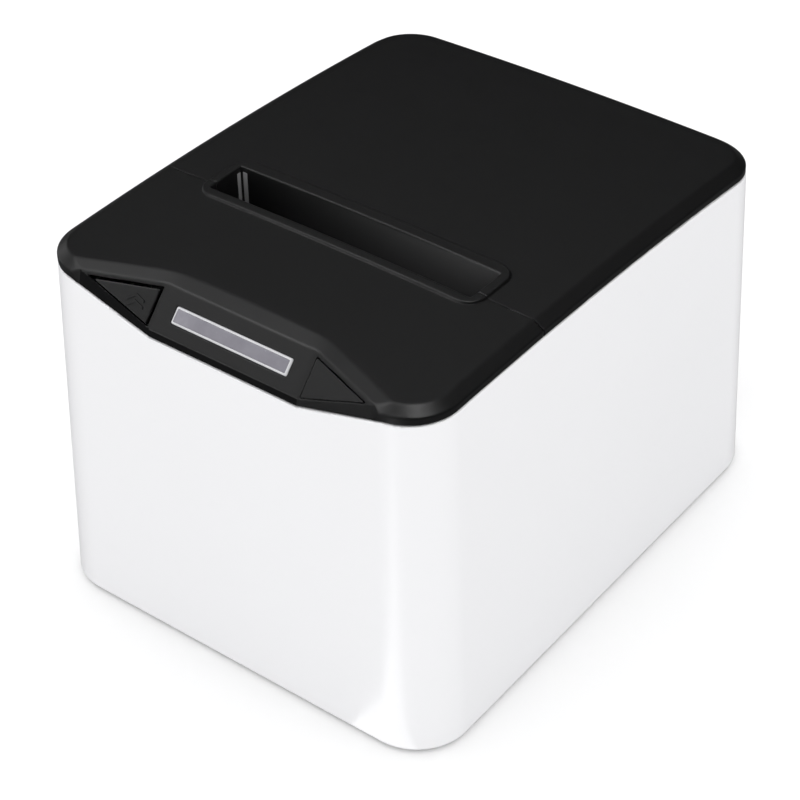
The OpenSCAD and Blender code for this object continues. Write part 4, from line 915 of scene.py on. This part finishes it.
def add_socket_details():
    """Contacts in the network, data and drawer sockets, and the network socket's lights."""
    lan = [contact(LAN_X + LAN_PITCH * i, 0.2, 16, 7, LAN_TOP - 1.6, LAN_TOP - 1.1) for i in row(8)]
    blocks("lan_contacts", lan, "base", "brass")
    lights = [contact(LAN_X + side * LAN_LIGHT_X, 1.4, 0.4, -0.12, LAN_TOP + 0.5, LAN_TOP + 1.9)
              for side in (-1, 1)]
    blocks("lan_lights", lights, "base", "led", 0.1)
    usb = [contact(USB_X + side * USB_CONTACT_X, 0.5, 13, 6, low, low + USB_CONTACT_T)
           for side in (-1, 1) for low in (TONGUE_TOP, TONGUE_TOP - TONGUE_T - USB_CONTACT_T)]
    blocks("usb_contacts", usb, "base", "brass", 0.04)
    drawer = [contact(DRAWER_X + DRAWER_PITCH * i, 0.22, 12.5, 5, DRAWER_TOP - 1.5, DRAWER_TOP - 1.0)
              for i in row(6)]
    blocks("drawer_contacts", drawer, "base", "brass")


def add_panel_screws():
    """Screws that hold the rear panel."""
    reach = SCREW_R + 0.5
    for name, x in SCREW_XS.items():
        obj = surface_mesh(name, screw_field(x, SCREW_Z, PANEL_FACE_Y, SCREW_R),
                           stations([x - reach, x + reach], [SCREW_CELL]),
                           stations([PANEL_FACE_Y - 0.6, PANEL_FACE_Y + 1.6], [SCREW_CELL]),
                           stations([SCREW_Z - reach, SCREW_Z + reach], [SCREW_CELL]))
        dress(obj, "steel")
        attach(obj, "base")


add_slot_highlight_strips()
add_feed_mark()
add_socket_details()
add_panel_screws()
blocks("rating_plate", [(PLATE_LOW, PLATE_HIGH)], "base", "label", 0.04)

# ---------------------------------------------------------------- floor, backdrop and light
FLOOR_SIZE = 6.0
# Colour of the floor: for the light that it throws up, for the camera and in reflections
FLOOR_WHITE = 0.93
FLOOR_SEEN = 0.98
FLOOR_MIRRORED = 0.12
WORLD_LIGHT = 1.135
# Direction from the object to the camera, and the place of the cards round the object, in metres
VIEW = Vector((0.48, -0.63, 0.61)).normalized()
CARD_CENTRE = Vector((0, -0.03, 0.11))
CARD_FAR = 2.0
# Strip just over the floor that the casing's front corner mirrors: its middle and its size
CORNER_STRIP = Vector((0.056, -0.19, 0.002))
CORNER_STRIP_SIZE = (0.022, 0.24)
# Normal of the covers' chamfer at the front right corner
CORNER_CHAMFER_N = (1.55, -1.55, CHAMFER_W)


def flat_piece(name, centre, size, facing):
    """Rectangle that isn't part of the object, turned to face a direction."""
    mesh = bpy.data.meshes.new(name)
    hx, hy = size[0] / 2, size[1] / 2
    mesh.from_pydata([(-hx, -hy, 0), (hx, -hy, 0), (hx, hy, 0), (-hx, hy, 0)], [], [(0, 1, 2, 3)])
    obj = bpy.data.objects.new(name, mesh)
    obj.location = centre
    obj.rotation_euler = Vector(facing).to_track_quat("Z", "Y").to_euler()
    bpy.context.scene.collection.objects.link(obj)
    return obj


def mix_values(tree, factor, a, b):
    """Node that goes from a to b, which are values or sockets."""
    n = tree.nodes.new("ShaderNodeMapRange")
    for socket, value in (("To Min", a), ("To Max", b)):
        if isinstance(value, float):
            n.inputs[socket].default_value = value
        else:
            tree.links.new(value, n.inputs[socket])
    tree.links.new(factor, n.inputs["Value"])
    return n.outputs["Result"]


def add_floor():
    """White floor that shows the contact shadow, and that reflections see as a dark one."""
    floor = flat_piece("floor", (0, 0, 0), (FLOOR_SIZE, FLOOR_SIZE), (0, 0, 1))
    m = bpy.data.materials.new("floor")
    m.use_nodes = True
    tree = m.node_tree
    tree.nodes.clear()
    path = tree.nodes.new("ShaderNodeLightPath")
    diffuse = tree.nodes.new("ShaderNodeBsdfDiffuse")
    output = tree.nodes.new("ShaderNodeOutputMaterial")
    unseen = mix_values(tree, path.outputs["Is Glossy Ray"], FLOOR_WHITE, FLOOR_MIRRORED)
    seen = mix_values(tree, path.outputs["Is Camera Ray"], unseen, FLOOR_SEEN)
    tree.links.new(seen, diffuse.inputs["Color"])
    tree.links.new(diffuse.outputs["BSDF"], output.inputs["Surface"])
    floor.data.materials.append(m)


def mirrored(normal):
    """Direction that a face with this normal reflects towards the camera."""
    n = Vector(normal).normalized()
    return 2 * n.dot(VIEW) * n - VIEW


def on_the_left(normal):
    """Normal of the face on the left that matches one on the right."""
    return -normal[0], normal[1], normal[2]


def add_card(name, direction, size, brightness):
    """Card far from the object that only shows in reflections."""
    direction = Vector(direction).normalized()
    light_up(flat_piece(name, CARD_CENTRE + direction * CARD_FAR, size, -direction), name, brightness)


def light_up(card, name, brightness):
    """Glow that only reflections see."""
    m = bpy.data.materials.new(name)
    m.use_nodes = True
    m.cycles.emission_sampling = "NONE"
    tree = m.node_tree
    tree.nodes.clear()
    glow = tree.nodes.new("ShaderNodeEmission")
    glow.inputs["Strength"].default_value = brightness
    output = tree.nodes.new("ShaderNodeOutputMaterial")
    tree.links.new(glow.outputs["Emission"], output.inputs["Surface"])
    card.data.materials.append(m)
    card.visible_camera = False
    card.visible_diffuse = False
    card.visible_shadow = False
    card.visible_transmission = False


def add_world():
    """White behind the object and even light on it. Reflections see only the cards, on black."""
    world = bpy.data.worlds.new("studio")
    bpy.context.scene.world = world
    world.use_nodes = True
    world.cycles.sampling_method = "NONE"
    tree = world.node_tree
    path = tree.nodes.new("ShaderNodeLightPath")
    plain = mix_values(tree, path.outputs["Is Camera Ray"], WORLD_LIGHT, 1.0)
    background = tree.nodes["Background"]
    background.inputs["Color"].default_value = (1, 1, 1, 1)
    strength = mix_values(tree, path.outputs["Is Glossy Ray"], plain, 0.0)
    tree.links.new(strength, background.inputs["Strength"])


add_floor()
add_world()
add_card("panel_card", mirrored(PANEL_N), (1.2, 0.9), 1.3)
add_card("facet_card", mirrored(on_the_left(FACET_N)), (1.0, 0.9), 0.6)
add_card("top_card", mirrored((0, 0, 1)), (1.6, 1.2), 0.17)
add_card("high_card", (-0.3, 0.45, 0.85), (1.2, 1.0), 0.5)
add_card("strip_card", mirrored(on_the_left(STRIP_SIDE_N)), (0.8, 0.8), 2.2)
add_card("chamfer_card", mirrored((0, -CHAMFER_H, CHAMFER_W)), (0.9, 0.7), 6.0)
add_card("corner_card", mirrored(CORNER_CHAMFER_N), (0.5, 0.5), 22.0)
add_card("right_card", mirrored((CHAMFER_H, 0, CHAMFER_W)), (1.2, 1.2), 0.15)
add_card("left_front_card", (-0.48, -0.87, 0.09), (1.0, 0.35), 6.0)
add_card("front_card", (0.05, -0.99, 0.12), (1.0, 0.35), 3.0)
add_card("left_card", (-0.98, -0.1, 0.2), (1.4, 0.7), 1.6)
corner_strip = flat_piece("corner_strip", CORNER_STRIP, CORNER_STRIP_SIZE, (0, 0, 1))
light_up(corner_strip, "corner_strip", 2.6)

# ---------------------------------------------------------------- camera
# The camera's place, its turn in radians, and its lens, as solved from the photo's outline
CAMERA_MM = (347.8, -456.5, 498.1)
YAW = 2.2299
PITCH = 0.6697
ROLL = -0.0195
LENS_MM = 103.87
SENSOR_MM = 36.0
CLIP_END = 20


def add_camera():
    """Camera at the photo's viewpoint."""
    ahead = Vector((math.cos(YAW) * math.cos(PITCH), math.sin(YAW) * math.cos(PITCH), -math.sin(PITCH)))
    right = Vector((math.sin(YAW), -math.cos(YAW), 0))
    up = right.cross(ahead)
    turned_right = math.cos(ROLL) * right + math.sin(ROLL) * up
    turned_up = -math.sin(ROLL) * right + math.cos(ROLL) * up
    camera = bpy.data.cameras.new("camera")
    camera.lens = LENS_MM
    camera.sensor_width = SENSOR_MM
    camera.clip_end = CLIP_END
    obj = bpy.data.objects.new("camera", camera)
    turn = Matrix((turned_right, turned_up, -ahead)).transposed().to_4x4()
    obj.matrix_world = Matrix.Translation([c * MM for c in CAMERA_MM]) @ turn
    bpy.context.scene.collection.objects.link(obj)
    bpy.context.scene.camera = obj


add_camera()
bpy.context.scene.view_settings.view_transform = "Standard"
